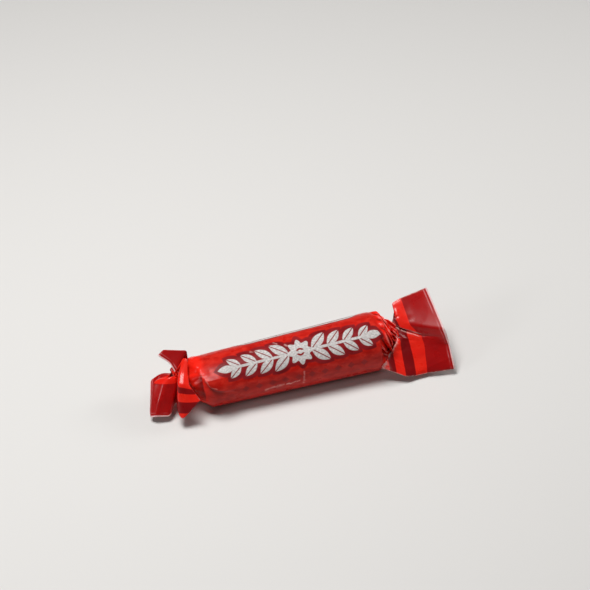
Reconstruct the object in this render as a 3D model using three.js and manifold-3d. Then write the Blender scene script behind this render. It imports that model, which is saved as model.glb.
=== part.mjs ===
// Twist-wrapped caramel roll: a soft caramel bar rolled in printed film, its two ends twisted shut.
// Millimetres, +X along the roll, +Z up. The origin is on the floor, under the middle of the roll.
// The shut wrapper is one solid: the roll with its two shoulders and twisted necks, and a folded
// film fan spreading from each neck.

import * as THREE from 'three';
import { mergeVertices } from 'three/addons/utils/BufferGeometryUtils.js';
import Module from 'manifold-3d';

// The roll
const ROLL_LENGTH = 43.6;
const ROLL_WIDTH = 14.2;
const ROLL_HEIGHT = 13.3;
const ROLL_SWELL = 0.065;       // how much thicker the right end is than the middle, and thinner the left
const SECTION_POWER = 2.15;     // 2 gives an ellipse, more gives a squarer section
const FLAT_DEPTH = 0.35;        // how much of the round underside is pressed flat

// The film
const LEAF_THICKNESS = 0.6;     // two film layers with the air between them
const PLEATS = 8;
const STEPS_PER_PLEAT = 6;
const RING_STEPS = PLEATS * STEPS_PER_PLEAT;
const PLEAT_DEPTH = 0.26;       // share of the neck's radius
const PLEAT_START = 0.3;        // share of the shoulder that is still smooth
const NECK_TAPER = 0.35;        // how much thinner the neck is where it meets the fan
const LOOSE_SIDE = Math.PI / 6; // the film runs furthest past the roll at this angle behind the top
const CORNER_PULL = 3.4;        // how tightly a fold keeps to its corner: 1 is loose, 4 is crisp
const SHOULDER_RINGS = 9;
const NECK_RINGS = 3;
const LEAF_RINGS = 9;
const ROOT_RADIUS = 1.2;        // where the leaves start, inside the neck
const SLIVER = 0.02;            // edges shorter than this are merged

// Each end: the neck's place, the way the fan faces, and its folds, from the low edge of the flattened
// film tube to its top edge. A fold line runs from the neck past an elbow to a tip on the cut edge.
// Both are [outward, up, towards the front] from the neck.
const RIGHT_END = {
  side: 1,
  neck: new THREE.Vector3(25.8, 0.4, 7.4),
  neckRadius: 2.5,
  neckLength: 2.0,
  neckTwist: 1.1,
  overhangFront: 0.3,
  overhangBack: 0.4,
  tuckIn: 0.95,
  outward: new THREE.Vector3(0.970, -0.098, 0.219),
  up: new THREE.Vector3(-0.077, 0.735, 0.672),
  folds: [
    { elbow: [-3.4, -9.6, 1.2], tip: [13.9, -13.1, 0.0] },
    { elbow: [3.6, -6.4, 1.1], tip: [13.9, -7.6, -0.3] },
    { elbow: [4.6, -1.8, -0.8], tip: [13.8, -2.3, 0.2] },
    { elbow: [3.4, 1.4, 1.6], tip: [13.7, 0.6, 0.5] },
    { elbow: [3.2, 8.2, -0.4], tip: [13.6, 8.9, 0.0] },
  ],
};

const LEFT_END = {
  side: -1,
  neck: new THREE.Vector3(-28.6, 1.8, 8.4),
  neckRadius: 1.9,
  neckLength: 1.6,
  neckTwist: 0.9,
  overhangFront: 0.9,
  overhangBack: 4.6,
  tuckIn: 0.96,
  outward: new THREE.Vector3(-0.947, 0.322, 0.0),
  up: new THREE.Vector3(0.228, 0.669, 0.707),
  folds: [
    { elbow: [-2.6, 0.4, 2.9], tip: [-4.6, -8.2, 0.3] },
    { elbow: [-0.7, 2.6, 3.2], tip: [-0.9, -11.2, 0.2] },
    { elbow: [0.6, -2.6, 0.6], tip: [0.7, -9.6, -1.2] },
    { elbow: [1.2, -2.4, 1.6], tip: [2.2, -10.5, 0.5] },
    { elbow: [6.2, -2.4, 1.1], tip: [6.9, -10.6, 0.3] },
    { elbow: [4.2, 0.2, 0.3], tip: [6.9, -1.2, -0.8] },
    { elbow: [1.2, 0.8, -1.0], tip: [2.0, 1.4, -3.0] },
    { elbow: [2.2, 2.8, 0.2], tip: [5.0, 5.0, 0.5] },
    { elbow: [-1.2, 3.6, -2.2], tip: [-2.4, 6.2, -4.2] },
  ],
};

const wasm = await Module();
wasm.setup();

// A closed mesh as a solid, its shared corners merged.
function solidFrom(vertices, triangles) {
  const geometry = new THREE.BufferGeometry();
  geometry.setAttribute('position', new THREE.Float32BufferAttribute(vertices.flat(), 3));
  geometry.setIndex(triangles.flat());
  const merged = mergeVertices(geometry, 1e-5);
  return new wasm.Manifold(new wasm.Mesh({
    numProp: 3,
    vertProperties: new Float32Array(merged.attributes.position.array),
    triVerts: new Uint32Array(merged.index.array),
  }));
}

// Point at t on the arc from start to end that bends close by the elbow.
function bend(start, elbow, end, t) {
  const weights = [(1 - t) ** 2, 2 * t * (1 - t) * CORNER_PULL, t ** 2];
  const total = weights[0] + weights[1] + weights[2];
  return new THREE.Vector3()
    .addScaledVector(start, weights[0] / total)
    .addScaledVector(elbow, weights[1] / total)
    .addScaledVector(end, weights[2] / total);
}

function signedPower(value, power) {
  return Math.sign(value) * Math.abs(value) ** power;
}

// How much thicker the roll is at x than at its middle.
function swellAt(x) {
  return 1 + (ROLL_SWELL * 2 * x) / ROLL_LENGTH;
}

// Point of the roll's section at an angle, with the underside pressed flat on the floor.
function sectionPoint(x, angle) {
  const y = (ROLL_WIDTH / 2) * swellAt(x) * signedPower(Math.cos(angle), 2 / SECTION_POWER);
  const half = (ROLL_HEIGHT * swellAt(x) + FLAT_DEPTH) / 2;
  const z = half - FLAT_DEPTH + half * signedPower(Math.sin(angle), 2 / SECTION_POWER);
  return new THREE.Vector3(x, y, Math.max(z, 0));
}

function ringAngle(step) {
  return (2 * Math.PI * step) / RING_STEPS;
}

// Ring of the shoulder, from the roll's rim at t = 0 to the neck at t = 1. The film runs on past the
// roll by the overhang, turns in and gathers into pleats.
function shoulderRing(end, t) {
  const rimX = (end.side * ROLL_LENGTH) / 2;
  const axis = new THREE.Vector3(rimX, 0, (ROLL_HEIGHT * swellAt(rimX)) / 2);
  const middle = bend(axis, axis, end.neck, t);
  const pleat = PLEAT_DEPTH * THREE.MathUtils.smoothstep(t, PLEAT_START, 1);
  const points = [];
  for (let step = 0; step < RING_STEPS; step += 1) {
    const angle = ringAngle(step);
    const rim = sectionPoint(rimX, angle);
    const backness = 0.5 + 0.5 * Math.sin(angle + LOOSE_SIDE);
    const overhang = THREE.MathUtils.lerp(end.overhangFront, end.overhangBack, backness);
    const elbow = rim.clone().sub(axis).multiplyScalar(end.tuckIn).add(axis);
    elbow.x += end.side * overhang;
    const turned = angle + end.side * end.neckTwist * t * t;
    const neck = end.neck.clone();
    neck.y += end.neckRadius * Math.cos(turned);
    neck.z += end.neckRadius * Math.sin(turned);
    const point = bend(rim, elbow, neck, t);
    const swell = 1 + pleat * Math.cos(PLEATS * angle);
    point.y = middle.y + (point.y - middle.y) * swell;
    point.z = Math.max(middle.z + (point.z - middle.z) * swell, 0);
    points.push(point);
  }
  return points;
}

// Ring of the neck beyond the shoulder: the same pleats, turned on by the twist.
function neckRing(end, t) {
  const points = [];
  for (let step = 0; step < RING_STEPS; step += 1) {
    const angle = ringAngle(step);
    const turned = angle + end.side * end.neckTwist * (1 + t);
    const swell = 1 + PLEAT_DEPTH * Math.cos(PLEATS * angle);
    const radius = end.neckRadius * swell * (1 - NECK_TAPER * t);
    points.push(new THREE.Vector3(0, radius * Math.cos(turned), radius * Math.sin(turned))
      .add(end.neck)
      .addScaledVector(end.outward, end.neckLength * t));
  }
  return points;
}

// Closed skin through rings of equal length, with a flat cap on the first and the last.
function loft(rings) {
  const vertices = rings.flat().map((point) => point.toArray());
  const count = rings[0].length;
  const triangles = [];
  for (let ring = 0; ring + 1 < rings.length; ring += 1) {
    for (let step = 0; step < count; step += 1) {
      const a = ring * count + step;
      const b = ring * count + ((step + 1) % count);
      triangles.push([a, b, b + count], [a, b + count, a + count]);
    }
  }
  const capMiddle = (ring) => ring
    .reduce((sum, point) => sum.add(point), new THREE.Vector3())
    .multiplyScalar(1 / count)
    .toArray();
  const first = vertices.push(capMiddle(rings[0])) - 1;
  const last = vertices.push(capMiddle(rings[rings.length - 1])) - 1;
  const lastRing = (rings.length - 1) * count;
  for (let step = 0; step < count; step += 1) {
    const next = (step + 1) % count;
    triangles.push([first, next, step], [last, lastRing + step, lastRing + next]);
  }
  return solidFrom(vertices, triangles);
}

// The roll with both shoulders and necks, from the left neck's end to the right neck's end.
function rollSolid() {
  const rings = [];
  for (let ring = NECK_RINGS; ring > 0; ring -= 1) {
    rings.push(neckRing(LEFT_END, ring / NECK_RINGS));
  }
  for (let ring = SHOULDER_RINGS; ring >= 0; ring -= 1) {
    rings.push(shoulderRing(LEFT_END, ring / SHOULDER_RINGS));
  }
  for (let ring = 0; ring <= SHOULDER_RINGS; ring += 1) {
    rings.push(shoulderRing(RIGHT_END, ring / SHOULDER_RINGS));
  }
  for (let ring = 1; ring <= NECK_RINGS; ring += 1) {
    rings.push(neckRing(RIGHT_END, ring / NECK_RINGS));
  }
  return loft(rings);
}

// The fan's folded leaf: a grid of points from the neck to the cut edge and along the fold lines,
// one column on each fold line and one half way to the next, given half its thickness either way.
function fanSolid(end) {
  const front = new THREE.Vector3().crossVectors(end.outward, end.up).multiplyScalar(end.side);
  const place = ([out, up, forward]) => end.neck.clone()
    .addScaledVector(end.outward, out)
    .addScaledVector(end.up, up)
    .addScaledVector(front, forward);
  const columns = [];
  end.folds.forEach((fold, index) => {
    columns.push([place(fold.elbow), place(fold.tip)]);
    const next = end.folds[index + 1];
    if (next) {
      columns.push([
        place(fold.elbow).lerp(place(next.elbow), 0.5),
        place(fold.tip).lerp(place(next.tip), 0.5),
      ]);
    }
  });
  const grid = columns.map(([elbow, tip]) => {
    const root = elbow.clone().sub(end.neck).setLength(ROOT_RADIUS).add(end.neck);
    const line = [];
    for (let ring = 0; ring <= LEAF_RINGS; ring += 1) {
      line.push(bend(root, elbow, tip, ring / LEAF_RINGS));
    }
    return line;
  });
  return thicken(grid, LEAF_THICKNESS / 2);
}

// Closed leaf from a grid of points, with faces half a thickness to either side of it.
function thicken(grid, half) {
  const rows = grid.length;
  const cols = grid[0].length;
  const { clamp } = THREE.MathUtils;
  const nearest = (row, col) => grid[clamp(row, 0, rows - 1)][clamp(col, 0, cols - 1)].clone();
  const faces = [[], []];
  for (let row = 0; row < rows; row += 1) {
    for (let col = 0; col < cols; col += 1) {
      const along = nearest(row, col + 1).sub(nearest(row, col - 1));
      const across = nearest(row + 1, col).sub(nearest(row - 1, col));
      const normal = along.cross(across).setLength(half);
      faces[0].push(grid[row][col].clone().add(normal).toArray());
      faces[1].push(grid[row][col].clone().sub(normal).toArray());
    }
  }
  const back = rows * cols;
  const at = (row, col) => row * cols + col;
  const triangles = [];
  for (let row = 0; row + 1 < rows; row += 1) {
    for (let col = 0; col + 1 < cols; col += 1) {
      const [a, b, c, d] = [at(row, col), at(row, col + 1), at(row + 1, col + 1), at(row + 1, col)];
      triangles.push([a, b, c], [a, c, d]);
      triangles.push([back + a, back + c, back + b], [back + a, back + d, back + c]);
    }
  }
  const wall = (a, b) => triangles.push([b, a, back + a], [b, back + a, back + b]);
  for (let col = 0; col + 1 < cols; col += 1) {
    wall(at(0, col), at(0, col + 1));
    wall(at(rows - 1, col + 1), at(rows - 1, col));
  }
  for (let row = 0; row + 1 < rows; row += 1) {
    wall(at(row + 1, 0), at(row, 0));
    wall(at(row, cols - 1), at(row + 1, cols - 1));
  }
  return solidFrom(faces.flat(), triangles);
}

// The largest body of a joined solid as a geometry; the others are scraps between crossing folds.
function geometryFrom(solid) {
  const bodies = solid.decompose().sort((a, b) => b.volume() - a.volume());
  const mesh = bodies[0].getMesh();
  const geometry = new THREE.BufferGeometry();
  geometry.setAttribute('position', new THREE.BufferAttribute(mesh.vertProperties, mesh.numProp));
  geometry.setIndex(new THREE.BufferAttribute(mesh.triVerts, 1));
  return geometry;
}

const film = new THREE.MeshStandardMaterial({ color: 0xc8281c, roughness: 0.28, metalness: 0.0 });
const wrapped = rollSolid().add(fanSolid(RIGHT_END)).add(fanSolid(LEFT_END)).simplify(SLIVER);
const candy = new THREE.Mesh(geometryFrom(wrapped), film);
candy.name = 'wrapped_caramel';

const group = new THREE.Group();
group.add(candy);

export default group;
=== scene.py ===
"""Twist-wrapped caramel roll in printed film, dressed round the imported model.

The wrapper is one film tube: it lies tight on the roll, gathers into pleats over each shoulder, is
twisted into a neck and spreads into a fan. All shapes are worked out in millimetres, as functions
of how far along the film and how far round it a point is, and go into the meshes in metres.
"""

import logging
import math
from dataclasses import dataclass, field
from enum import Enum

import bpy
import numpy as np
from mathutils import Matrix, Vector


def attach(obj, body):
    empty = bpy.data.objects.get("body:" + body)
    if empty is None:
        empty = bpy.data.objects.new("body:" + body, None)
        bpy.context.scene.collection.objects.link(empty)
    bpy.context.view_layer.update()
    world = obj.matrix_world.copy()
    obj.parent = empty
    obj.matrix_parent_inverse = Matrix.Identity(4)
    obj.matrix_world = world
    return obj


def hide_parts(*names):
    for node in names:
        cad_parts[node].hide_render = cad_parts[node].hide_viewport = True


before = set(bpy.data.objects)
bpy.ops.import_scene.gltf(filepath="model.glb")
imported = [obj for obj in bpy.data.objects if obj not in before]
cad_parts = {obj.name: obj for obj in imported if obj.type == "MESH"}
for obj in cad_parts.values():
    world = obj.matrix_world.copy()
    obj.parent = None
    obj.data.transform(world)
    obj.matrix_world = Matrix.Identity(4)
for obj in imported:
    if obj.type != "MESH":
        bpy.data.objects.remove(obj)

log = logging.getLogger("caramel")

Array = np.ndarray
Socket = bpy.types.NodeSocket
Span = tuple[float, float]  # where something starts and where it ends

MM = 0.001
FILM_MAP = "film"  # the UV map: millimetres of film along and round the wrapper, times UV_SCALE
UV_SCALE = 0.01
LOOSE = "loose"  # vertex attribute: 0 where the film lies on the caramel, 1 where it stands free
PAINTED_SHADE = "painted_shade"  # vertex attribute of painted shade: 1 in pleat bottoms, past bends and below the lip
WHITENING_AND_GLINT = "whitening_and_glint"  # vertex attribute: 1 on a sharp fold, crease whitening with a painted highlight
WRAPPER_NODE = "wrapped_caramel"
BODY = "root"


class Coat(Enum):
    """The faces of a film piece, in the order of its material slots."""

    OUTSIDE = 0
    INSIDE = 1
    CUT_EDGE = 2


# ---------------------------------------------------------------------------------------------
# Shared formulas
# ---------------------------------------------------------------------------------------------

SHORTEST = 1e-6  # a length, in millimetres, so that nothing is divided by zero
SMALLEST = 1e-9  # the same for the cross product of two steps
PATH_SAMPLES = 7  # places whose mean rounds the corners of a path
TABLE_SAMPLES = 5  # places whose mean rounds the corners of a table
PLEAT_SAMPLES = (-1.2, -0.6, 0.0, 0.6, 1.2)  # degrees off a place, whose mean rounds a pleat


def signed_power(value: Array, power: float) -> Array:
    """The value's size raised to the power, with its sign kept."""
    return np.sign(value) * np.abs(value) ** power


def smooth_step(value: Array, low: float, high: float) -> Array:
    """0 below low, 1 above high, and an S curve in between: 3 s squared less 2 s cubed."""
    share = np.clip((value - low) / (high - low), 0.0, 1.0)
    return share * share * (3.0 - 2.0 * share)


def lerp(a: Array, b: Array, share: Array) -> Array:
    """The point that share of the way from a to b."""
    return a + (b - a) * share


def cross_ring(angle: Array) -> Array:
    """Points of a ring of radius 1 about X at these angles."""
    return np.stack([np.zeros_like(angle), np.cos(angle), np.sin(angle)], -1)


def turn_pair(y: Array, z: Array, angle: Array) -> tuple[Array, Array]:
    """(y, z) turned by an angle: y cosine less z sine, and y sine plus z cosine."""
    return y * np.cos(angle) - z * np.sin(angle), y * np.sin(angle) + z * np.cos(angle)


def along_path(knots: Array, share: Array, rounding: float) -> Array:
    """Point at a share of the length of a path of straight runs, with its corners rounded.

    The point is the path's first knot plus each run times the part of it that is passed. The
    rounding is the mean of such points spread evenly over the rounding to either side, drawn in
    near the path's two ends so that these stay where they are.

    Args:
        knots: Knots, columns, xyz and any further values that change along the path.
        share: Rows, 1; from 0 to 1.
        rounding: Half the width of the rounding, in millimetres.

    Returns:
        Rows, columns, the same values as the knots have.
    """
    runs = np.diff(knots, axis=0)
    lengths = np.maximum(np.linalg.norm(runs[..., :3], axis=-1), SHORTEST)
    starts = np.cumsum(lengths, axis=0) - lengths
    whole = lengths.sum(0)
    reach = share * whole
    room = np.minimum(reach, whole - reach)
    total = np.zeros(reach.shape + knots.shape[-1:])
    for offset in np.linspace(-rounding, rounding, PATH_SAMPLES):
        place = reach + offset * np.minimum(1.0, room / rounding)
        passed = np.clip((place[None] - starts[:, None]) / lengths[:, None], 0.0, 1.0)
        total += knots[0] + (passed[..., None] * runs[:, None]).sum(0)
    return total / PATH_SAMPLES


def grid_normals(points: Array, wraps: bool) -> Array:
    """Unit normals of a grid of points.

    The normal is the cross product of the step to the next column and the step to the next row,
    each taken as the difference between the two neighbours.

    Args:
        points: Rows, columns, xyz.
        wraps: True if the last column is next to the first.

    Returns:
        Rows, columns, xyz.
    """
    rows = np.gradient(points, axis=0)
    if wraps:
        cols = np.roll(points, -1, axis=1) - np.roll(points, 1, axis=1)
    else:
        cols = np.gradient(points, axis=1)
    normal = np.cross(cols, rows)
    return normal / np.maximum(np.linalg.norm(normal, axis=-1, keepdims=True), SMALLEST)


def run_lengths(knots: Array) -> Array:
    """Length of each run between the knots of paths: knots less one, columns."""
    return np.linalg.norm(np.diff(knots[..., :3], axis=0), axis=-1)


def read_table(place: Array, knots: Array, values: Array) -> Array:
    """Straight lines between the rows of values at the knots, read at each place."""
    return np.stack([np.interp(place, knots, column) for column in values.T], -1)


def rounded_table(
    share: Array, knots: Array, values: Array, radius: float
) -> Array:
    """Straight lines between the values at the knots, with their corners rounded.

    The rounding is the mean of the lines at places spread over the radius to either side. It dies
    away towards 0 and 1, so that the first and the last value are kept.

    Args:
        share: Places to read at, from 0 to 1.
        knots: Places of the values, rising from 0 to 1.
        values: Knots, any number of values.
        radius: Half the width of the rounding.

    Returns:
        The shape of share, with the values last.
    """
    spread = share[None] + np.linspace(-radius, radius, TABLE_SAMPLES)[:, None]
    rounded = read_table(np.clip(spread, 0.0, 1.0), knots, values).mean(0)
    ends = smooth_step(np.minimum(share, 1.0 - share), 0.0, radius)[..., None]
    return lerp(read_table(share, knots, values), rounded, ends)


@dataclass(frozen=True)
class FacetRelief:
    """Crumple of a stiff film: flat facets that meet in sharp creases.

    Random heights stand on the corners of a lattice, each cell is split into two triangles by one
    of its diagonals, and the height is flat over each triangle. A second, wider lattice first
    shifts the place that is read, so that the facets come out uneven.

    Attributes:
        seed: Seed of the random heights.
        along: Lattice spacing along the film, in millimetres.
        around: Lattice spacing round the film, in millimetres.
        film_round: Length of film round the wrapper, after which the relief repeats.
        rows: Corners along the film after which it repeats.
        wider: Spacing of the second lattice, as a multiple of the first.
        shift: How far it moves the place read, as a share of the spacing.
        seed_step: What sets the random numbers of one seed apart from those of the next.
    """

    seed: int
    along: float
    around: float
    film_round: float
    rows: int = 160
    wider: float = 1.7
    shift: float = 0.5
    seed_step: int = 31

    def _lattice(self, u: Array, v: Array, coarser: float, salt: int) -> Array:
        """Height of one lattice of triangles.

        Over a triangle it is that of one corner plus each side's rise times the share of the way
        along it.

        Args:
            u: Film places along the film, in millimetres.
            v: Film places round it.
            coarser: How many times as wide as the first lattice it is.
            salt: Tells its random numbers from those of the others.

        Returns:
            The shape of u and v, from -1 to 1.
        """
        rng = np.random.default_rng(self.seed * self.seed_step + salt)
        around = max(3, round(self.film_round / (self.around * coarser)))
        heights = rng.uniform(-1, 1, (self.rows, around))
        falling = rng.random((self.rows, around)) < 0.5
        a = u / (self.along * coarser) + self.rows / 2
        b = v / self.film_round * around
        i, j = np.floor(a).astype(int), np.floor(b).astype(int)
        a, b = a - i, b - j
        i, j = i % self.rows, j % around
        ii, jj = (i + 1) % self.rows, (j + 1) % around
        h00, h10, h01, h11 = heights[i, j], heights[ii, j], heights[i, jj], heights[ii, jj]
        near = h00 + a * (h10 - h00) + b * (h01 - h00)
        far = h11 + (1 - a) * (h01 - h11) + (1 - b) * (h10 - h11)
        below = h00 + a * (h10 - h00) + b * (h11 - h10)
        above = h00 + b * (h01 - h00) + a * (h11 - h01)
        fall, rise = np.where(a + b < 1, near, far), np.where(a > b, below, above)
        return np.where(falling[i, j], fall, rise)

    def at(self, u: Array, v: Array) -> Array:
        """Height of the crumple.

        Args:
            u: Film places along the film, in millimetres.
            v: Film places round it.

        Returns:
            The shape of u and v, from -1 to 1.
        """
        shift_u = self._lattice(u, v, self.wider, 1) * self.along * self.shift
        shift_v = self._lattice(u, v, self.wider, 2) * self.around * self.shift
        return self._lattice(u + shift_u, v + shift_v, 1.0, 3)


# ---------------------------------------------------------------------------------------------
# Sizes of the wrapper
# ---------------------------------------------------------------------------------------------


@dataclass(frozen=True)
class Roll:
    """The caramel roll under the film, in millimetres, lying along X with its middle at X = 0."""

    length: float = 43.6
    width: float = 14.2
    height: float = 13.3
    swell: float = 0.065  # how much thicker the right end is than the middle
    power: float = 2.15  # 2 gives an ellipse, more gives a squarer section
    flat_depth: float = 0.35  # how much of the underside is pressed flat
    film_round: float = 43.6  # length of film round the roll

    def film_radius(self) -> float:
        """The radius of a ring as long as the film round the roll."""
        return self.film_round / math.tau

    def swell_at(self, x: Array) -> Array:
        """How much thicker the roll is at x than at its middle."""
        return 1 + self.swell * 2 * x / self.length

    def section(self, x: Array, angle: Array) -> Array:
        """Points of the skin at x and at an angle, 0 at the rear and a quarter turn at the top.

        The section is a superellipse: the cosine and the sine, each raised to 2 over the power with
        its sign kept, times the half width and the half height. What is below the floor is flat.

        Args:
            x: Places along the roll: rows, 1.
            angle: 1, columns.

        Returns:
            Rows, columns, xyz.
        """
        grown = self.swell_at(x)
        half = (self.height * grown + self.flat_depth) / 2
        y = self.width / 2 * grown * signed_power(np.cos(angle), 2 / self.power)
        z = half - self.flat_depth + half * signed_power(np.sin(angle), 2 / self.power)
        x, y, z = np.broadcast_arrays(x, y, z)
        return np.stack([x, y, np.maximum(z, 0.0)], -1)


@dataclass(frozen=True)
class Fold:
    """A fold line of a fan, as the points that it passes from the neck to the cut edge.

    Each point is (outward, up, towards the front) from the neck and then the length of film from
    there to its cut edge, all in millimetres.

    Attributes:
        path: The points.
        whitening_and_glint: Share of the way from the neck over which the fold shows whitening and
            a painted highlight.
    """

    path: tuple[tuple[float, float, float, float], ...]
    whitening_and_glint: float = 0.0


@dataclass(frozen=True)
class Corner:
    """A place round the roll's end, with the two points at which the film bends there.

    Each of them is (overhang, share, turn): how far past the roll it lies in millimetres, the share
    of the rim's distance from the axis that is left there, and how many degrees round it has moved.

    Attributes:
        degrees: Where it is: 0 at the rear, 90 at the top, 180 in front.
        first: The bend nearer the roll.
        second: The bend nearer the neck.
        sharp: How much painted highlight the film has on the first bend, from 0 to 1.
        fold_shade: How much painted shade the film past the first bend has; 1 is full.
    """

    degrees: float
    first: tuple[float, float, float]
    second: tuple[float, float, float]
    sharp: float = 0.0
    fold_shade: float = 0.0


@dataclass(frozen=True)
class Twist:
    """One twisted end of the wrapper, in millimetres and radians."""

    name: str
    side: int  # 1 at the right, -1 at the left
    neck: tuple[float, float, float]
    neck_radius: float
    neck_length: float
    shoulder_turn: float
    neck_turn: float
    outward: tuple[float, float, float]
    up: tuple[float, float, float]
    corners: tuple[Corner, ...]
    pleats: tuple[tuple[float, float], ...]  # ridges: degrees, and how far out against an even one
    folds: tuple[Fold, ...]
    lean: float  # how far the pleats lean over
    crumple: float  # height of the crumple of the shoulder
    pleated: Span  # shares of the way to the neck where pleats start and are full
    neck_taper: float = 0.35
    pleat_depth: float = 1.0  # how deep the pleats are, as a share of what the spare film fills
    tucked: float = 0.0  # share of the fan's width over which the line through the folds' first points has a painted highlight

    def axes(self) -> tuple[Array, Array, Array]:
        """The outward, up and front directions of the fan."""
        outward, up = np.array(self.outward), np.array(self.up)
        return outward, up, np.cross(outward, up) * self.side

    def place(self, offsets: Array) -> Array:
        """Points at (outward, up, front) offsets from the neck."""
        moves = [offsets[..., i : i + 1] * axis for i, axis in enumerate(self.axes())]
        return np.array(self.neck) + moves[0] + moves[1] + moves[2]

    def _at_corners(self, angle: Array, values: list[tuple[float, ...]]) -> list[Array]:
        """Straight lines round the roll's end between the corners' values, read at an angle."""
        places = np.radians([corner.degrees for corner in self.corners])
        return [np.interp(angle, places, column, period=math.tau) for column in np.array(values).T]

    def bends_at(self, angle: Array) -> list[tuple[Array, Array, Array]]:
        """The two bends of the film at ring angles.

        Args:
            angle: The angles.

        Returns:
            Overhang, share and turn in radians, of the first bend and of the second.
        """
        firsts = self._at_corners(angle, [corner.first for corner in self.corners])
        seconds = self._at_corners(angle, [corner.second for corner in self.corners])
        return [(bend[0], bend[1], np.radians(bend[2])) for bend in (firsts, seconds)]

    def on_bend(self, angle: Array) -> list[Array]:
        """The painted highlight on the film's first bend at an angle, and the painted shade past
        it.
        """
        return self._at_corners(angle, [(corner.sharp, corner.fold_shade) for corner in self.corners])

    def _pleat_knots(self) -> tuple[Array, Array]:
        """The pleats' knots.

        Returns:
            The angles of the ridges and of the bottoms between them, by turns; and the angle from
            each ridge to the next.
        """
        ridges = np.radians([degrees for degrees, _ in self.pleats])
        widths = np.diff(np.append(ridges, ridges[0] + math.tau))
        return np.stack([ridges, ridges + widths / 2], -1).ravel(), widths

    def pleat(self, angle: Array) -> Array:
        """How far a pleat stands out at ring angles, as a share of the film that is spare there.

        It is a quarter of the pleat's own width in radians on a ridge, times its strength, less the
        same half way to the next, with straight lines between them, rounded over a few degrees.

        Args:
            angle: The angles.

        Returns:
            The shape of angle.
        """
        knots, widths = self._pleat_knots()
        strengths = np.array([strength for _, strength in self.pleats])
        outs = strengths * (widths + np.roll(widths, 1)) / 8
        heights = np.stack([outs, -widths / 4], -1).ravel()
        spread = [angle + turn for turn in np.radians(PLEAT_SAMPLES)]
        near = [np.interp(turned, knots, heights, period=math.tau) for turned in spread]
        return sum(near) / len(near)

    def pleat_side(self, angle: Array) -> Array:
        """0 on a pleat's ridge, 1 at the bottom between two, and straight lines in between."""
        knots, widths = self._pleat_knots()
        return np.interp(angle, knots, np.tile([0.0, 1.0], len(widths)), period=math.tau)


RIGHT = Twist(
    name="right",
    side=1,
    neck=(25.8, 0.4, 7.4),
    neck_radius=2.7,
    neck_length=2.0,
    shoulder_turn=2.3,
    neck_turn=1.0,
    outward=(0.970, -0.098, 0.219),
    up=(-0.077, 0.735, 0.672),
    corners=(
        Corner(5, (1.8, 0.92, 10), (3.4, 0.66, 60)),
        Corner(45, (2.2, 0.95, 10), (3.8, 0.70, 60)),
        Corner(80, (2.0, 0.96, 10), (3.8, 0.72, 60)),
        Corner(112, (1.6, 0.96, 10), (3.6, 0.74, 60)),
        Corner(135, (0.5, 0.82, 10), (2.6, 0.50, 55)),
        Corner(160, (0.4, 0.66, 8), (3.6, 0.58, 38), fold_shade=0.9),
        Corner(180, (1.3, 0.82, 8), (4.2, 0.72, 30), fold_shade=0.9),
        Corner(205, (1.7, 0.90, 8), (4.2, 0.76, 30), fold_shade=0.3),
        Corner(250, (1.0, 0.90, 8), (2.8, 0.64, 50)),
        Corner(310, (1.2, 0.90, 8), (2.8, 0.64, 50)),
    ),
    pleats=(
        (6, 1.2), (30, 0.9), (52, 1.5), (74, 1.0), (92, 1.3), (113, 1.8), (140, 1.2), (162, 1.4),
        (186, 1.1), (208, 1.5), (232, 1.2), (256, 2.4), (286, 1.1), (310, 1.4), (336, 1.0),
    ),
    folds=(
        Fold(((-4.3, -7.2, 4.4, 18.7), (1.5, -11.5, 2.9, 12.5), (3.9, -12.0, 1.7, 9.7),
              (6.9, -12.2, 0.8, 6.7), (14.1, -13.3, 0.2, 0.0)), whitening_and_glint=1.0),
        Fold(((-0.9, -4.7, 3.0, 15.6), (2.0, -7.3, 2.3, 12.5), (4.5, -8.1, 1.3, 9.7),
              (7.6, -8.8, 0.6, 6.7), (14.3, -10.3, 0.4, 0.0))),
        Fold(((2.0, -2.5, 2.6, 13.4), (2.7, -3.1, 2.2, 12.5), (4.8, -3.8, 1.2, 9.7),
              (8.4, -5.0, 0.5, 6.7), (14.6, -6.7, 0.5, 0.0))),
        Fold(((1.9, 2.0, 0.9, 14.2), (2.9, 0.9, 1.0, 12.5), (4.9, -0.7, 0.8, 9.7),
              (8.4, -3.1, 0.6, 6.7), (14.5, -5.3, 1.2, 0.0)), whitening_and_glint=0.6),
        Fold(((2.2, 2.9, -0.2, 13.8), (3.6, 2.0, -0.2, 12.0), (5.4, 0.5, -0.1, 9.5),
              (8.5, -2.6, 0.4, 6.6), (14.5, -4.7, 1.6, 0.0))),
        Fold(((2.7, 2.5, 1.2, 11.5), (3.6, 1.1, 1.4, 9.9), (5.2, -0.1, 1.2, 7.6),
              (8.5, -2.2, 0.8, 6.3), (14.45, -4.1, 1.9, 0.0)), whitening_and_glint=0.62),
        Fold(((3.0, 3.6, 0.9, 10.4), (3.3, 3.2, 1.2, 9.9), (4.6, 2.6, 1.3, 8.3),
              (6.35, 0.9, 1.3, 6.7), (14.3, -2.6, 2.5, 0.0))),
        Fold(((3.1, 3.9, 0.4, 10.8), (3.4, 5.2, 0.4, 10.3), (3.6, 7.6, 0.0, 9.7),
              (6.2, 8.2, -0.4, 6.7), (13.5, 8.95, -2.6, 0.0)), whitening_and_glint=1.0),
    ),
    lean=0.35,
    crumple=0.35,
    pleated=(0.0, 0.16),
    tucked=0.45,
)

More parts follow.
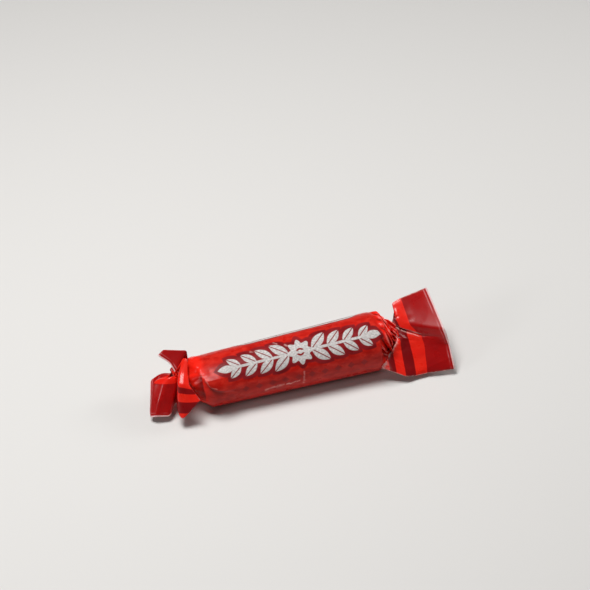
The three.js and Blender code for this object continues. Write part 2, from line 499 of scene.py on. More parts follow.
LEFT = Twist(
    name="left",
    side=-1,
    neck=(-28.6, 1.8, 8.4),
    neck_radius=1.9,
    neck_length=1.6,
    shoulder_turn=1.2,
    neck_turn=1.2,
    outward=(-0.947, 0.322, 0.0),
    up=(0.228, 0.669, 0.707),
    corners=(
        Corner(10, (3.2, 0.92, 0), (5.2, 0.55, -10)),
        Corner(60, (2.4, 1.00, 0), (4.8, 1.00, -5)),
        Corner(86, (2.6, 0.99, 0), (5.2, 0.85, -18)),
        Corner(110, (2.3, 1.00, 0), (5.1, 0.63, -14)),
        Corner(118, (2.1, 1.00, 0), (5.0, 0.68, -13), sharp=0.4, fold_shade=0.6),
        Corner(126, (2.1, 0.97, -1), (4.8, 0.70, -8), fold_shade=1.3),
        Corner(152, (2.15, 0.87, -4), (4.2, 0.70, 4), fold_shade=1.3),
        Corner(170, (1.95, 0.85, -2), (3.5, 0.66, 8), fold_shade=1.2),
        Corner(193, (1.9, 0.87, -4), (3.2, 0.68, 9), fold_shade=0.6),
        Corner(216, (0.6, 0.90, 0), (2.2, 0.70, 0)),
        Corner(290, (1.2, 0.95, 0), (3.5, 0.60, 0)),
        Corner(340, (2.4, 0.92, 0), (4.6, 0.55, -5)),
    ),
    pleats=((12, 1), (60, 1.3), (110, 1), (152, 1.2), (200, 1), (236, 1.2), (282, 1), (330, 1.2)),
    folds=(
        Fold(((-2.4, 4.2, 3.4, 26.3), (-2.7, 0.2, 3.9, 22.2), (-3.2, -2.5, 4.9, 19.2),
              (-6.1, -6.3, 4.9, 14.4), (-5.3, -5.3, 4.1, 12.9))),
        Fold(((-1.9, 4.4, 3.2, 25.9), (-1.6, 0.3, 4.1, 21.7), (-1.7, -2.4, 5.4, 18.7),
              (-1.4, -11.3, 3.2, 9.5), (-1.6, -9.7, 2.7, 7.8))),
        Fold(((-1.3, 4.2, 2.8, 25.6), (-0.5, 0.3, 4.0, 21.5), (-0.3, -2.3, 5.25, 18.7),
              (-0.25, -9.0, 3.0, 11.8), (-1.0, -8.2, 2.4, 10.6))),
        Fold(((0.2, -0.6, 0.9, 7.0), (0.25, -1.6, 0.8, 6.0), (0.3, -2.8, 0.6, 4.6),
              (0.4, -4.6, 0.0, 2.6), (0.6, -6.6, -0.8, 0.0))),
        Fold(((0.2, -0.5, 1.8, 10.0), (0.3, -1.3, 2.1, 9.2), (0.2, -2.2, 2.0, 8.3),
              (0.85, -6.2, 1.5, 4.2), (1.5, -10.3, 0.9, 0.0))),
        Fold(((1.2, -0.6, 2.3, 11.3), (2.4, -1.0, 2.7, 10.0), (3.1, -2.3, 2.9, 8.5),
              (4.3, -6.3, 2.5, 4.3), (5.4, -10.4, 1.7, 0.0))),
        Fold(((2.0, -0.6, 1.9, 11.8), (3.6, -0.9, 2.0, 10.1), (4.5, -2.2, 2.0, 8.5),
              (5.4, -6.3, 1.6, 4.3), (6.2, -10.5, 0.9, 0.0))),
        Fold(((2.6, -0.6, 1.7, 12.5), (4.6, -1.2, 1.6, 10.4), (6.2, -2.2, 1.4, 8.5),
              (6.45, -6.3, 1.0, 4.3), (6.7, -10.6, 0.5, 0.0))),
        Fold(((1.6, 0.3, 0.6, 6.1), (2.9, 0.5, 0.3, 4.7), (4.0, 0.6, 0.0, 3.6),
              (5.4, 0.1, -0.4, 2.1), (7.1, -1.0, -0.8, 0.0))),
        Fold(((0.6, 0.2, -0.6, 2.6), (1.1, 0.2, -0.9, 2.0), (1.5, 0.1, -1.1, 1.6),
              (2.0, -0.3, -1.4, 0.9), (2.6, -0.8, -1.8, 0.0))),
        Fold(((-1.4, 1.6, -1.0, 8.4), (-2.6, 3.6, 0.0, 8.3), (-2.5, 6.3, 3.1, 6.6),
              (-0.8, 3.2, 2.3, 2.8), (0.6, 0.5, 1.6, 0.0))),
        Fold(((-0.2, 1.6, -1.2, 8.3), (-0.2, 3.6, -0.3, 7.0), (0.9, 6.35, 2.5, 4.0),
              (1.5, 4.6, 2.1, 1.9), (2.0, 2.9, 1.6, 0.0))),
        Fold(((0.8, 1.6, -1.4, 8.2), (1.9, 3.6, -0.6, 6.0), (3.8, 6.4, 2.0, 1.9),
              (4.7, 5.6, 1.8, 0.9), (5.3, 4.8, 1.5, 0.0))),
        Fold(((0.4, 1.4, -2.2, 6.0), (0.6, 2.9, -2.8, 4.2), (0.8, 4.6, -3.4, 2.3),
              (1.4, 5.0, -3.6, 1.3), (2.6, 5.2, -3.6, 0.0))),
    ),
    lean=0.4,
    crumple=0.18,
    pleated=(0.45, 0.8),
    pleat_depth=0.45,
)


@dataclass(frozen=True)
class PulledLip:
    """The flat lip of film that the left twist pulls off the roll's end, at film places (u, v).

    The lip is a flat span that leaves the roll as a tangent and ends in a ridge. Below the ridge
    the film drops back to the roll, and the step's shadow is painted on it as darker film.

    Attributes:
        ridge: Points of the ridge, from the shoulder to the roll.
        flat_from: v at which the flat span leaves the roll.
        flat_turn: Most that the roll turns away under the flat span, in radians.
        start: u over which the lip rises from the shoulder.
        end: u over which it dies away along the roll.
        drop: Width of the film's drop below the ridge, in millimetres.
        shadow_near: Distance below the ridge over which the painted shade starts.
        shadow_far: Distance below it over which it ends.
        shadow_start: u over which that film starts.
        shadow_end: u over which it ends.
    """

    ridge: tuple[tuple[float, float], ...] = (
        (-23.9, 19.4), (-22.5, 22.5), (-21.4, 23.8), (-20.0, 24.4), (-15.0, 25.5),
    )
    flat_from: float = 18.2
    flat_turn: float = 0.47
    start: Span = (-24.7, -23.1)
    end: Span = (-19.5, -15.5)
    drop: float = 0.9
    shadow_near: Span = (0.0, 0.4)
    shadow_far: Span = (0.5, 2.6)
    shadow_start: Span = (-22.9, -21.6)
    shadow_end: Span = (-20.4, -18.4)

    def height(self, u: Array, v: Array, radius: float) -> Array:
        """How far the film stands off the roll, in millimetres.

        It is the radius over the cosine of how far the roll has turned away under the flat span,
        less the radius.

        Args:
            u: Film places along the roll.
            v: Film places round it.
            radius: The roll's radius.

        Returns:
            The shape of u and v together.
        """
        turn = np.clip((v - self.flat_from) / radius, 0.0, self.flat_turn)
        kept = 1 - np.clip(self._below(u, v) / self.drop, 0.0, 1.0)
        window = smooth_step(u, *self.start) * (1 - smooth_step(u, *self.end))
        return radius * (1 / np.cos(turn) - 1) * kept * window

    def fold_shade(self, u: Array, v: Array) -> Array:
        """How much painted shade each place has: most just below the ridge, none past the shadow.

        Args:
            u: Film places along the roll.
            v: Film places round it.

        Returns:
            The shape of u and v together, from 0 to 1.
        """
        below = self._below(u, v)
        window = smooth_step(u, *self.shadow_start) * (1 - smooth_step(u, *self.shadow_end))
        near, far = smooth_step(below, *self.shadow_near), smooth_step(below, *self.shadow_far)
        return near * (1 - far) * window

    def _below(self, u: Array, v: Array) -> Array:
        """How far below the ridge each place lies, in millimetres round the roll."""
        return v - np.interp(u, *np.array(self.ridge).T)


# ---------------------------------------------------------------------------------------------
# Meshes
# ---------------------------------------------------------------------------------------------


def add_object(name: str, data: bpy.types.ID) -> bpy.types.Object:
    """Adds an object to the scene.

    Args:
        name: Its name.
        data: Its mesh, camera or light.

    Returns:
        The object.
    """
    made = bpy.data.objects.new(name, data)
    bpy.context.scene.collection.objects.link(made)
    return made


@dataclass
class FilmSheet:
    """A grid of film points with what its mesh needs.

    Attributes:
        points: Rows, columns, xyz, in millimetres.
        film: Rows, columns (one more than points if it wraps), the film's own u and v.
        marks: The vertex attributes LOOSE, PAINTED_SHADE and WHITENING_AND_GLINT, each as rows,
            columns.
        wraps: True if the last column joins the first.
    """

    points: Array
    film: Array
    marks: dict[str, Array]
    wraps: bool

    def mesh(self, name: str, capped: bool) -> bpy.types.Object:
        """Makes the mesh object, smooth, with the film map and the vertex attributes.

        Args:
            name: The object's name.
            capped: True to close the first and the last row with a fan of triangles.

        Returns:
            The new object, at the origin.
        """
        rows, cols = self.points.shape[:2]
        row, col = np.mgrid[0 : rows - 1, 0 : cols if self.wraps else cols - 1].reshape(2, -1)
        after = (col + 1) % cols
        row_of = np.stack([row, row, row + 1, row + 1], 1)
        faces = (row_of * cols + np.stack([col, after, after, col], 1)).tolist()
        uvs = [self.film[row_of, np.stack([col, col + 1, col + 1, col], 1)].reshape(-1, 2)]
        vertices = self.points.reshape(-1, 3)
        marks = {mark: values.ravel() for mark, values in self.marks.items()}
        if capped:
            ring = np.arange(cols)
            following = (ring + 1) % cols
            for end, pair in ((0, (following, ring)), (rows - 1, (ring, following))):
                middle = np.full(cols, len(vertices))
                vertices = np.vstack([vertices, self.points[end].mean(0)])
                marks = {mark: np.append(values, 1.0) for mark, values in marks.items()}
                first, second = end * cols + pair[0], end * cols + pair[1]
                faces += np.stack([middle, first, second], 1).tolist()
                uvs.append(np.repeat(self.film[end, :1], cols * 3, axis=0))
        data = bpy.data.meshes.new(name)
        data.from_pydata((vertices * MM).tolist(), [], faces, shade_flat=False)
        layer = data.uv_layers.new(name=FILM_MAP)
        layer.uv.foreach_set("vector", (np.concatenate(uvs) * UV_SCALE).astype(np.float32).ravel())
        for mark, values in marks.items():
            attribute = data.attributes.new(mark, "FLOAT", "POINT")
            attribute.data.foreach_set("value", values.astype(np.float32))
        data.validate()
        return add_object(name, data)


@dataclass
class RollFilm:
    """The film over the roll, both shoulders and both necks, as one closed skin."""

    roll: Roll = field(default_factory=Roll)
    lip: PulledLip = PulledLip()
    twists: tuple[Twist, Twist] = (LEFT, RIGHT)
    columns: int = 288
    roll_rows: int = 112
    shoulder_rows: int = 44
    neck_rows: int = 8
    seam_angle: float = math.radians(-42)  # where the film's overlapping edge runs along the roll
    seam_height: float = 0.22
    overlap_turn: float = math.radians(50)
    bend_rounding: float = 0.25
    sharp_width: float = 0.28  # of the painted highlight on a bend, in millimetres
    fold_shade_reach: float = 1.8  # over which the painted shade past a bend dies away, in millimetres
    facets: tuple[tuple[int, float, float], ...] = ((11, 3.6, 3.6), (12, 1.5, 1.5), (13, 9.0, 3.2))
    fine_crumple: float = 0.10
    dent: float = 0.045  # height of the soft dents along the roll, in millimetres
    end_dent: float = 0.07  # what they have more at its ends
    loose_over: Span = (0.0, 2.5)  # past the roll, over which the ink turns bright
    free_over: Span = (0.0, 3.0)  # past the roll, over which the shoulder's crumple grows
    calm_over: Span = (6.0, 12.0)  # past the roll, over which it goes down again
    calmed: float = 0.5  # by this share
    near_reach: float = 3.0  # before the roll's end, over which what the end has more dies away
    near_crumple: float = 0.35  # fine crumple there, as a share of the shoulder's
    seam_past: float = 1.0  # how far past the roll the overlapping edge stands out
    between: float = 0.35  # how far down between pleats the film counts as, where it has none
    pleat_shade_span: Span = (0.45, 1.0)  # how far down the painted shade starts and ends growing darker
    ridge_glint: float = 0.5  # strength of the painted highlight on the pleats' ridges
    ridge_glint_over: Span = (0.5, 3.0)  # past the roll, over which that painted highlight grows
    ridge_glint_from: float = 0.2  # how far above the film between pleats a ridge's painted highlight starts
    fold_shade_over: Span = (-0.15, 0.1)  # past a bend, over which the painted shade starts
    least_radius: float = 0.35  # of a pleat's bottom
    lean_radius: float = 1.5  # least radius with which a pleat's lean is worked out

    def angles(self) -> Array:
        """The ring angle of every column, from the overlapping edge once round."""
        return self.seam_angle + 2 * math.pi * np.arange(self.columns) / self.columns

    def shoulder(self, twist: Twist, t: Array, angle: Array) -> Array:
        """Points over a shoulder, from the roll's rim at t = 0 to the neck at t = 1.

        The film runs straight from the rim to its two bends and on to the neck. Each ring keeps the
        film's length: what a smaller ring leaves over, the root of the rim's radius squared less
        its own squared, goes into the pleats, and they lean over as they grow.

        Args:
            twist: The end.
            t: Rows, 1.
            angle: 1, columns.

        Returns:
            Rows, columns, xyz.
        """
        knots, axis = self._shoulder_knots(twist, angle)
        neck = np.array(twist.neck)
        point = along_path(knots, t, self.bend_rounding)
        passed = np.abs(point[..., :1] - axis[0]) / abs(neck[0] - axis[0])
        middle = axis + (neck - axis) * passed
        spare_from = np.linalg.norm((knots[0] - axis)[..., 1:], axis=-1)
        share = smooth_step(t, *twist.pleated)
        return self._pleated(twist, point, middle, spare_from, share, angle)

    def _shoulder_knots(self, twist: Twist, angle: Array) -> tuple[Array, Array]:
        """The points that each column passes over a shoulder, and the middle of the roll's end.

        Args:
            twist: The end.
            angle: 1, columns.

        Returns:
            The rim, the two bends and the neck: 4, columns, xyz; and one point.
        """
        rim_x = twist.side * self.roll.length / 2
        axis = np.array([rim_x, 0.0, self.roll.height * self.roll.swell_at(rim_x) / 2])
        rim = self.roll.section(np.full_like(angle, rim_x), angle)
        arm = rim - axis
        knots = [rim]
        for overhang, share, turn in twist.bends_at(angle):
            y, z = turn_pair(arm[..., 1], arm[..., 2], turn)
            knots.append(axis + np.stack([twist.side * overhang, y * share, z * share], -1))
        ring = cross_ring(angle + twist.side * twist.shoulder_turn)
        knots.append(np.array(twist.neck) + ring * twist.neck_radius)
        return np.concatenate(knots), axis

    def _on_bend(
        self, twist: Twist, t: Array, angle: Array
    ) -> tuple[Array, Array]:
        """How much painted highlight and painted shade the film of a shoulder has.

        The painted highlight is a bell about the first bend's line. The painted shade starts there
        and dies away towards the neck.

        Args:
            twist: The end.
            t: Rows, 1; from 0 at the rim to 1 at the neck.
            angle: 1, columns.

        Returns:
            Two arrays of rows, columns.
        """
        lengths = run_lengths(self._shoulder_knots(twist, angle)[0])
        past = t * lengths.sum(0) - lengths[0]
        sharp, fold_shade = twist.on_bend(angle)
        fading = np.exp(-np.maximum(past, 0.0) / self.fold_shade_reach)
        fading *= smooth_step(past, *self.fold_shade_over)
        bend_glint = np.exp(-((past / self.sharp_width) ** 2)) * sharp
        return bend_glint, np.minimum(fading * fold_shade, 1.0)

    def neck(self, twist: Twist, t: Array, angle: Array) -> Array:
        """Points of the neck beyond the shoulder, from t = 0 to t = 1 where the fan starts.

        The neck is a cone along the fan's outward direction that goes on turning.

        Args:
            twist: The end.
            t: Rows, 1.
            angle: 1, columns.

        Returns:
            Rows, columns, xyz.
        """
        turned = angle + twist.side * (twist.shoulder_turn + twist.neck_turn * t)
        radius = twist.neck_radius * (1 - twist.neck_taper * t)
        middle = np.array(twist.neck) + np.array(twist.outward) * (twist.neck_length * t)[..., None]
        ring = cross_ring(turned) * radius[..., None]
        spare_from = np.full_like(angle, self.roll.film_radius())
        return self._pleated(twist, middle + ring, middle, spare_from, np.ones_like(t), angle)

    def _pleated(
        self,
        twist: Twist,
        point: Array,
        middle: Array,
        spare_from: Array,
        share: Array,
        angle: Array,
    ) -> Array:
        """Rings with their spare film folded into leaning pleats about their middle.

        Each point moves out by the pleat's height times the spare film, and then turns about the
        middle by the lean times how far it has moved against its distance.

        Args:
            twist: The end.
            point: Rows, columns, xyz.
            middle: The rings' middles, for each point.
            spare_from: Radius of the ring that the film would fill, for each column.
            share: How far the pleats have grown, for each row.
            angle: 1, columns.

        Returns:
            Rows, columns, xyz.
        """
        offset = point - middle
        radius = np.maximum(np.linalg.norm(offset[..., 1:], axis=-1), SHORTEST)
        spare = np.sqrt(np.maximum(spare_from**2 - radius**2, 0.0))
        fold = twist.pleat(angle) * spare * share * twist.pleat_depth
        grown = np.maximum(radius + fold, self.least_radius) / radius
        lean = twist.side * twist.lean * share * fold / np.maximum(radius, self.lean_radius)
        y, z = turn_pair(offset[..., 1] * grown, offset[..., 2] * grown, lean)
        made = middle + np.stack([offset[..., 0], y, z], -1)
        made[..., 2] = np.maximum(made[..., 2], 0.0)
        return made

    def neck_end(self, twist: Twist, angle: Array) -> Array:
        """The ring of points on which the fan starts, at film angles."""
        return self.neck(twist, np.ones((1, 1)), angle[None, :])[0]

    def _along(self, points: Array) -> Array:
        """Film place of each row along the roll, 0 in its middle.

        The step from row to row is the mean distance of their points, or that of their middles
        where it is longer.

        Args:
            points: Rows, columns, xyz.

        Returns:
            One place for each row.
        """
        line = np.linalg.norm(np.diff(points.mean(1), axis=0), axis=1)
        reach = np.maximum(np.linalg.norm(np.diff(points, axis=0), axis=2).mean(1), line)
        along = np.concatenate([[0.0], np.cumsum(reach)])
        return along - (along[self.neck_rows + self.shoulder_rows] + self.roll.length / 2)

    def sheet(self) -> FilmSheet:
        """The whole skin, from the left neck's end to the right neck's end.

        Returns:
            The film, its columns running once round from the overlapping edge.
        """
        angle = self.angles()[None, :]
        half = self.roll.length / 2
        neck_t = np.linspace(1, 0, self.neck_rows, endpoint=False)[:, None]
        shoulder_t = np.linspace(1, 0, self.shoulder_rows, endpoint=False)[:, None]
        x = np.linspace(-half, half, self.roll_rows)[:, None]
        left, right = self.twists
        ends = ((left, neck_t, shoulder_t), (right, neck_t[::-1], shoulder_t[::-1]))
        necks = [self.neck(twist, t, angle) for twist, t, _ in ends]
        shoulders = [self.shoulder(twist, t, angle) for twist, _, t in ends]
        points = np.concatenate(
            [necks[0], shoulders[0], self.roll.section(x, angle), shoulders[1], necks[1]]
        )
        along = self._along(points)[:, None]
        past = np.maximum(np.abs(along) - half, 0.0)
        around = (angle - self.seam_angle) / math.tau * self.roll.film_round
        points = self._relief(points, along, around, past)
        edges = np.linspace(0, self.roll.film_round, self.columns + 1)[None, :]
        film = np.stack(np.broadcast_arrays(along, edges), -1)
        bare = [twist.pleat_side(angle) + 0.0 * t for twist, t, _ in ends]
        sides = [self._hollow(twist, t, angle) for twist, _, t in ends]
        painted_shade = np.concatenate([bare[0], sides[0], 0.0 * x * angle, sides[1], bare[1]])
        # the pleats' ridges get a painted highlight; their bottoms, the film past bends and below
        # the lip get painted shade
        ridge = smooth_step(self.between - painted_shade, self.ridge_glint_from, self.between)
        whitening_and_glint = ridge * smooth_step(past, *self.ridge_glint_over) * self.ridge_glint
        painted_shade = smooth_step(painted_shade, *self.pleat_shade_span)
        starts = (self.neck_rows, len(points) - self.neck_rows - self.shoulder_rows)
        for (twist, _, t), start in zip(ends, starts):
            span = slice(start, start + self.shoulder_rows)
            bend_glint, fold_shade = self._on_bend(twist, t, angle)
            whitening_and_glint[span] += bend_glint
            painted_shade[span] = np.maximum(painted_shade[span], fold_shade)
        painted_shade = np.maximum(painted_shade, self.lip.fold_shade(along, around))
        loose = np.broadcast_to(smooth_step(past, *self.loose_over), painted_shade.shape)
        return FilmSheet(points, film, {LOOSE: loose, PAINTED_SHADE: painted_shade, WHITENING_AND_GLINT: whitening_and_glint}, wraps=True)

    def _hollow(self, twist: Twist, t: Array, angle: Array) -> Array:
        """How far down between the shoulder's pleats each point is, from 0 to 1."""
        return lerp(self.between, twist.pleat_side(angle), smooth_step(t, *twist.pleated))

    def _relief(
        self, points: Array, u: Array, v: Array, past: Array
    ) -> Array:
        """Adds the overlapping edge, the lip, the crumple of the shoulders and the soft dents.

        Each point moves along its normal by the sum of their heights. The overlap falls evenly from
        the seam's height to nothing over its turn.

        Args:
            points: Rows, columns, xyz.
            u: Film place along, for each row.
            v: Film place round, for each column.
            past: How far past the roll's end each row is.

        Returns:
            Rows, columns, xyz.
        """
        u, v = np.broadcast_arrays(u, v)
        half, film_round = self.roll.length / 2, self.roll.film_round
        calm = 1 - self.calmed * smooth_step(past, *self.calm_over)
        free = smooth_step(past, *self.free_over) * calm
        near = np.exp(-((half - np.minimum(np.abs(u), half)) / self.near_reach))
        big, fine, dents = (FacetRelief(*facet, film_round).at(u, v) for facet in self.facets)
        left, right = self.twists
        crumple = np.where(u < 0, left.crumple, right.crumple)
        height = crumple * free * big
        height = height + self.fine_crumple * (free + self.near_crumple * near) * fine
        height += (1 - free) * (self.dent + self.end_dent * near) * dents
        turn = v / self.roll.film_radius()
        overlap = self.seam_height * (1 - turn / self.overlap_turn)
        overlap *= (turn < self.overlap_turn) & (np.abs(u) < half + self.seam_past)
        height += overlap + self.lip.height(u, v, self.roll.film_radius())
        moved = points + grid_normals(points, wraps=True) * height[..., None]
        moved[..., 2] = np.maximum(moved[..., 2], 0.0)
        return moved

    def build(self) -> bpy.types.Object:
        """The roll's film as a closed mesh."""
        return self.sheet().mesh("film_roll", capped=True)


@dataclass
class Fan:
    """A fan of film beyond a neck, with the cut edge of the film at its end."""

    twist: Twist
    film: RollFilm
    layers: int  # 2 where the film tube lies flat, 1 where it has opened out to one leaf
    columns: int = 288
    rows: int = 100
    even_columns: int = 301  # of the middle surface on which the crumple is worked out
    thickness: float = 0.07
    gap: float = 0.34  # half the air between two layers
    gap_power: int = 16  # how squarely the air closes towards the fan's sides
    fold_rounding: float = 0.014  # half the rounding of a fold line, as a share of the cut edge
    path_rounding: float = 0.55  # half the rounding of a fold across the film, in millimetres
    facets: tuple[tuple[int, float, float], ...] = ((21, 3.4, 3.0), (41, 7.5, 6.0), (31, 1.5, 1.4))
    facet_round: float = 1e3  # longer than the film, so that the relief doesn't repeat
    near_crumple: float = 0.55  # height of the crumple by the neck, in millimetres
    far_crumple: float = 0.13
    fine_crumple: float = 0.09
    far_facets: float = 0.03  # what is left of the crumple by the neck further out
    crease_width: float = 0.006  # of a fold's pale line, crease whitening with a painted highlight, as a share of the cut edge
    tuck_width: float = 0.40  # of the painted highlight along the line through the folds' first points, in millimetres
    tuck_widening: float = 3.0  # how much wider that line is at the first fold
    leaf_start: float = math.radians(130)  # ring angle at which an open leaf starts
    floor_gap: float = 0.06
    near_over: Span = (1.5, 7.5)  # from the neck, over which its crumple goes over into the wider
    crumple_over: Span = (0.2, 1.8)  # from the neck, over which the crumple grows
    gap_over: Span = (0.08, 0.7)  # shares of the way over which two layers part
    pleat_shade_over: Span = (0.0, 0.07)  # shares of the way over which the painted shade of the neck's pleats ends
    tuck_narrows: Span = (0.02, 0.12)  # shares of the cut edge over which the tucked line narrows
    tuck_fades: float = 0.08  # share of the cut edge over which it ends
    crease_fades: Span = (-0.1, 0.01)  # about a sharp fold's end, over which its pale line ends

    def _columns(self) -> tuple[Array, Array, Array]:
        """Each column's ring angle, share of the cut edge, and layer: 1 front, -1 back, 0 one leaf.

        In a flat tube the front layer runs up the edge and the back layer runs down it again. An
        open leaf goes once round the neck.

        Returns:
            Three arrays of columns.
        """
        turned = self.twist.side * (self.twist.shoulder_turn + self.twist.neck_turn)
        if self.layers == 1:
            share = np.linspace(0, 1, self.columns)
            return self.leaf_start - turned + math.tau * share, share, np.zeros(self.columns)
        up = self.twist.axes()[1]
        angle = self.film.angles()
        turn = np.mod(angle + turned - math.atan2(up[2], up[1]), math.tau) / math.pi
        return angle, np.where(turn <= 1, 1 - turn, turn - 1), np.where(turn <= 1, 1.0, -1.0)

    def _fold_table(self) -> tuple[Array, Array]:
        """The fold lines of the fan.

        The step from one fold line to the next is their mean distance over their points.

        Returns:
            Their shares of the cut edge, and their points: folds, points, xyz and film.
        """
        paths = np.array([fold.path for fold in self.twist.folds])
        placed = self.twist.place(paths[..., :3])
        along = np.concatenate([[0.0], np.cumsum(run_lengths(placed).mean(-1))])
        return along / along[-1], np.concatenate([placed, paths[..., 3:]], -1)

    def _knots(self, share: Array, root: Array) -> Array:
        """The points that the column at each share passes, its root first.

        They are read from the fold lines by how far along the cut edge the column ends. The film's
        length at the root is that at the next point plus the distance between them.

        Args:
            share: Share of the cut edge, for each column.
            root: Columns, xyz.

        Returns:
            Knots, columns, xyz and the length of film to the cut edge.
        """
        places, paths = self._fold_table()
        flat = rounded_table(share, places, paths.reshape(len(paths), -1), self.fold_rounding)
        knots = np.moveaxis(flat.reshape(len(share), -1, 4), 1, 0)
        first = np.linalg.norm(knots[0, :, :3] - root, axis=-1) + knots[0, :, 3]
        return np.concatenate([np.concatenate([root, first[:, None]], -1)[None], knots])

    def sheet(self) -> FilmSheet:
        """The whole leaf of the fan.

        Returns:
            The film, its rows running from the neck to the cut edge.
        """
        angle, share, layer = self._columns()
        t = np.linspace(0, 1, self.rows)[:, None]
        knots = self._knots(share, self.film.neck_end(self.twist, angle))
        read = along_path(knots, t, self.path_rounding)
        points, from_edge = read[..., :3] + self._relief(t, share, layer), read[..., 3]
        points[..., 2] = np.maximum(points[..., 2], self.floor_gap)
        wraps = self.layers == 2
        if wraps:
            from_edge = np.concatenate([from_edge, from_edge[:, :1]], 1)
        around = np.linspace(0, self.film.roll.film_round, len(share) + 1)[: from_edge.shape[1]]
        film = np.stack(np.broadcast_arrays(from_edge, around[None, :]), -1)
        # painted shade where the bottoms of the neck's pleats run into the fan
        side = smooth_step(self.twist.pleat_side(angle), *self.film.pleat_shade_span)[None, :]
        painted_shade = side * (1 - smooth_step(t, *self.pleat_shade_over))
        whitening_and_glint = self._whitening_and_glints(t, share, knots)
        marks = {LOOSE: np.ones_like(painted_shade), PAINTED_SHADE: painted_shade, WHITENING_AND_GLINT: whitening_and_glint}
        return FilmSheet(points, film, marks, wraps)

    def _whitening_and_glints(self, t: Array, share: Array, knots: Array) -> Array:
        """Crease whitening with painted highlights: 1 on the sharp folds, a bell to either side.

        The line through the folds' first points gets a painted highlight too, as far as the film is
        tucked, and is widest at the first fold.

        Args:
            t: Rows, 1; share of the way from the neck to the cut edge.
            share: Share of the cut edge, for each column.
            knots: The points that each column passes.

        Returns:
            Rows, columns.
        """
        total = np.zeros((len(t), len(share)))
        tucked = self.twist.tucked
        if tucked > 0:
            runs = run_lengths(knots)
            away = (t * runs.sum(0) - runs[0]) / self.tuck_width
            away /= 1 + self.tuck_widening * (1 - smooth_step(share, *self.tuck_narrows))
            fading = 1 - smooth_step(share, tucked - self.tuck_fades, tucked)
            total += np.exp(-(away**2)) * fading
        for fold, place in zip(self.twist.folds, self._fold_table()[0]):
            if fold.whitening_and_glint > 0:
                bell = np.exp(-(((share - place) / self.crease_width) ** 2))
                ends = [fold.whitening_and_glint + step for step in self.crease_fades]
                total += bell[None, :] * (1 - smooth_step(t, *ends))
        return np.minimum(total, 1.0)

    def _relief(self, t: Array, share: Array, layer: Array) -> Array:
        """The crumple of the film and the air between two layers, as moves of each point.

        Both are worked out on the middle surface between the layers, whose columns all start from
        the middle of the neck's end, so that two layers keep clear of each other. The crumple's
        facets narrow towards the neck, as the film does, and become pleats there.

        Args:
            t: Rows, 1; share of the way from the neck to the cut edge.
            share: Share of the cut edge, for each column.
            layer: 1, -1 or 0, for each column.

        Returns:
            Rows, columns, xyz.
        """
        even = np.linspace(0, 1, self.even_columns)
        start = self.twist.place(np.array([[self.twist.neck_length, 0.0, 0.0]]))
        knots = self._knots(even, np.repeat(start, len(even), axis=0))[..., :3]
        normal = grid_normals(along_path(knots, t, self.path_rounding), wraps=False)
        if (normal * self.twist.axes()[2]).sum() < 0:
            normal = -normal
        along = t * run_lengths(knots).sum(0)
        across = even[None, :] * self.film.roll.film_round / self.layers
        across = across + self.facet_round / 2 + 0.0 * along
        big, wide, fine = (
            FacetRelief(seed + self.twist.side, length, width, self.facet_round).at(along, across)
            for seed, length, width in self.facets
        )
        near = 1 - smooth_step(along, *self.near_over)
        height = near * (self.near_crumple * big + self.fine_crumple * fine)
        height = height + (1 - near) * (self.far_crumple * wide + self.far_facets * big)
        moved = normal * (height * smooth_step(along, *self.crumple_over))[..., None]
        sides = 1 - (2 * even - 1) ** self.gap_power
        apart = smooth_step(t, *self.gap_over) * sides[None, :] * self.gap
        place = share * (len(even) - 1)
        before = np.minimum(place.astype(int), len(even) - 2)
        moved = lerp(moved[:, before], moved[:, before + 1], (place - before)[None, :, None])
        return moved + (normal * apart[..., None])[:, before] * layer[None, :, None]

    def build(self) -> bpy.types.Object:
        """The fan as a thin shell with its cut edge.

        Returns:
            The new object.
        """
        made = self.sheet().mesh(f"film_fan_{self.twist.name}", capped=False)
        shell = made.modifiers.new("Film thickness", "SOLIDIFY")
        shell.thickness = self.thickness * MM
        shell.offset = -1.0 if self.layers == 2 else 0.0  # inwards from a tube, about a leaf
        shell.use_rim = True
        shell.material_offset = Coat.INSIDE.value
        shell.material_offset_rim = Coat.CUT_EDGE.value
        return made


# ---------------------------------------------------------------------------------------------
# Finishes
# ---------------------------------------------------------------------------------------------

REFRACTION = 1.49  # of polypropylene

# Each kind of node: its type, its settings, its inputs in order, and the output that is read
NODE_KINDS = {
    "MIX": ("ShaderNodeMix", {"data_type": "RGBA"}, ("Factor", 6, 7), 2),
    "RAMP": ("ShaderNodeMapRange", {}, ("Value", "From Min", "From Max", "To Min", "To Max"), 0),
    "NOISE": ("ShaderNodeTexNoise", {}, ("Vector", "Scale", "Detail"), "Fac"),
    "BUMP": ("ShaderNodeBump", {}, ("Strength", "Distance", "Height"), "Normal"),
    "JOIN": ("ShaderNodeCombineXYZ", {}, (0, 1), 0),
    "SPLIT_X": ("ShaderNodeSeparateXYZ", {}, (0,), "X"),
    "SPLIT_Y": ("ShaderNodeSeparateXYZ", {}, (0,), "Y"),
    "FILM": ("ShaderNodeUVMap", {"uv_map": FILM_MAP}, (), "UV"),
    "OBJECT": ("ShaderNodeTexCoord", {}, (), "Object"),
    "MARK": ("ShaderNodeAttribute", {}, (), "Fac"),
    "SHADER": ("ShaderNodeBsdfPrincipled", {}, (), 0),
    "SURFACE": ("ShaderNodeOutputMaterial", {}, ("Surface",), None),
}


def linear(hex_colour: str) -> tuple[float, float, float, float]:
    """An sRGB hex colour such as '#C8281C' as linear red, green, blue and alpha."""
    channels = [int(hex_colour[i : i + 2], 16) / 255 for i in (1, 3, 5)]
    return (*(c / 12.92 if c <= 0.04045 else ((c + 0.055) / 1.055) ** 2.4 for c in channels), 1.0)


@dataclass(frozen=True)
class Grain:
    """Size in millimetres and detail of a noise, and the values at which it counts as 0 and 1."""

    along: float
    around: float
    detail: float
    low: float = 0.0
    high: float = 1.0


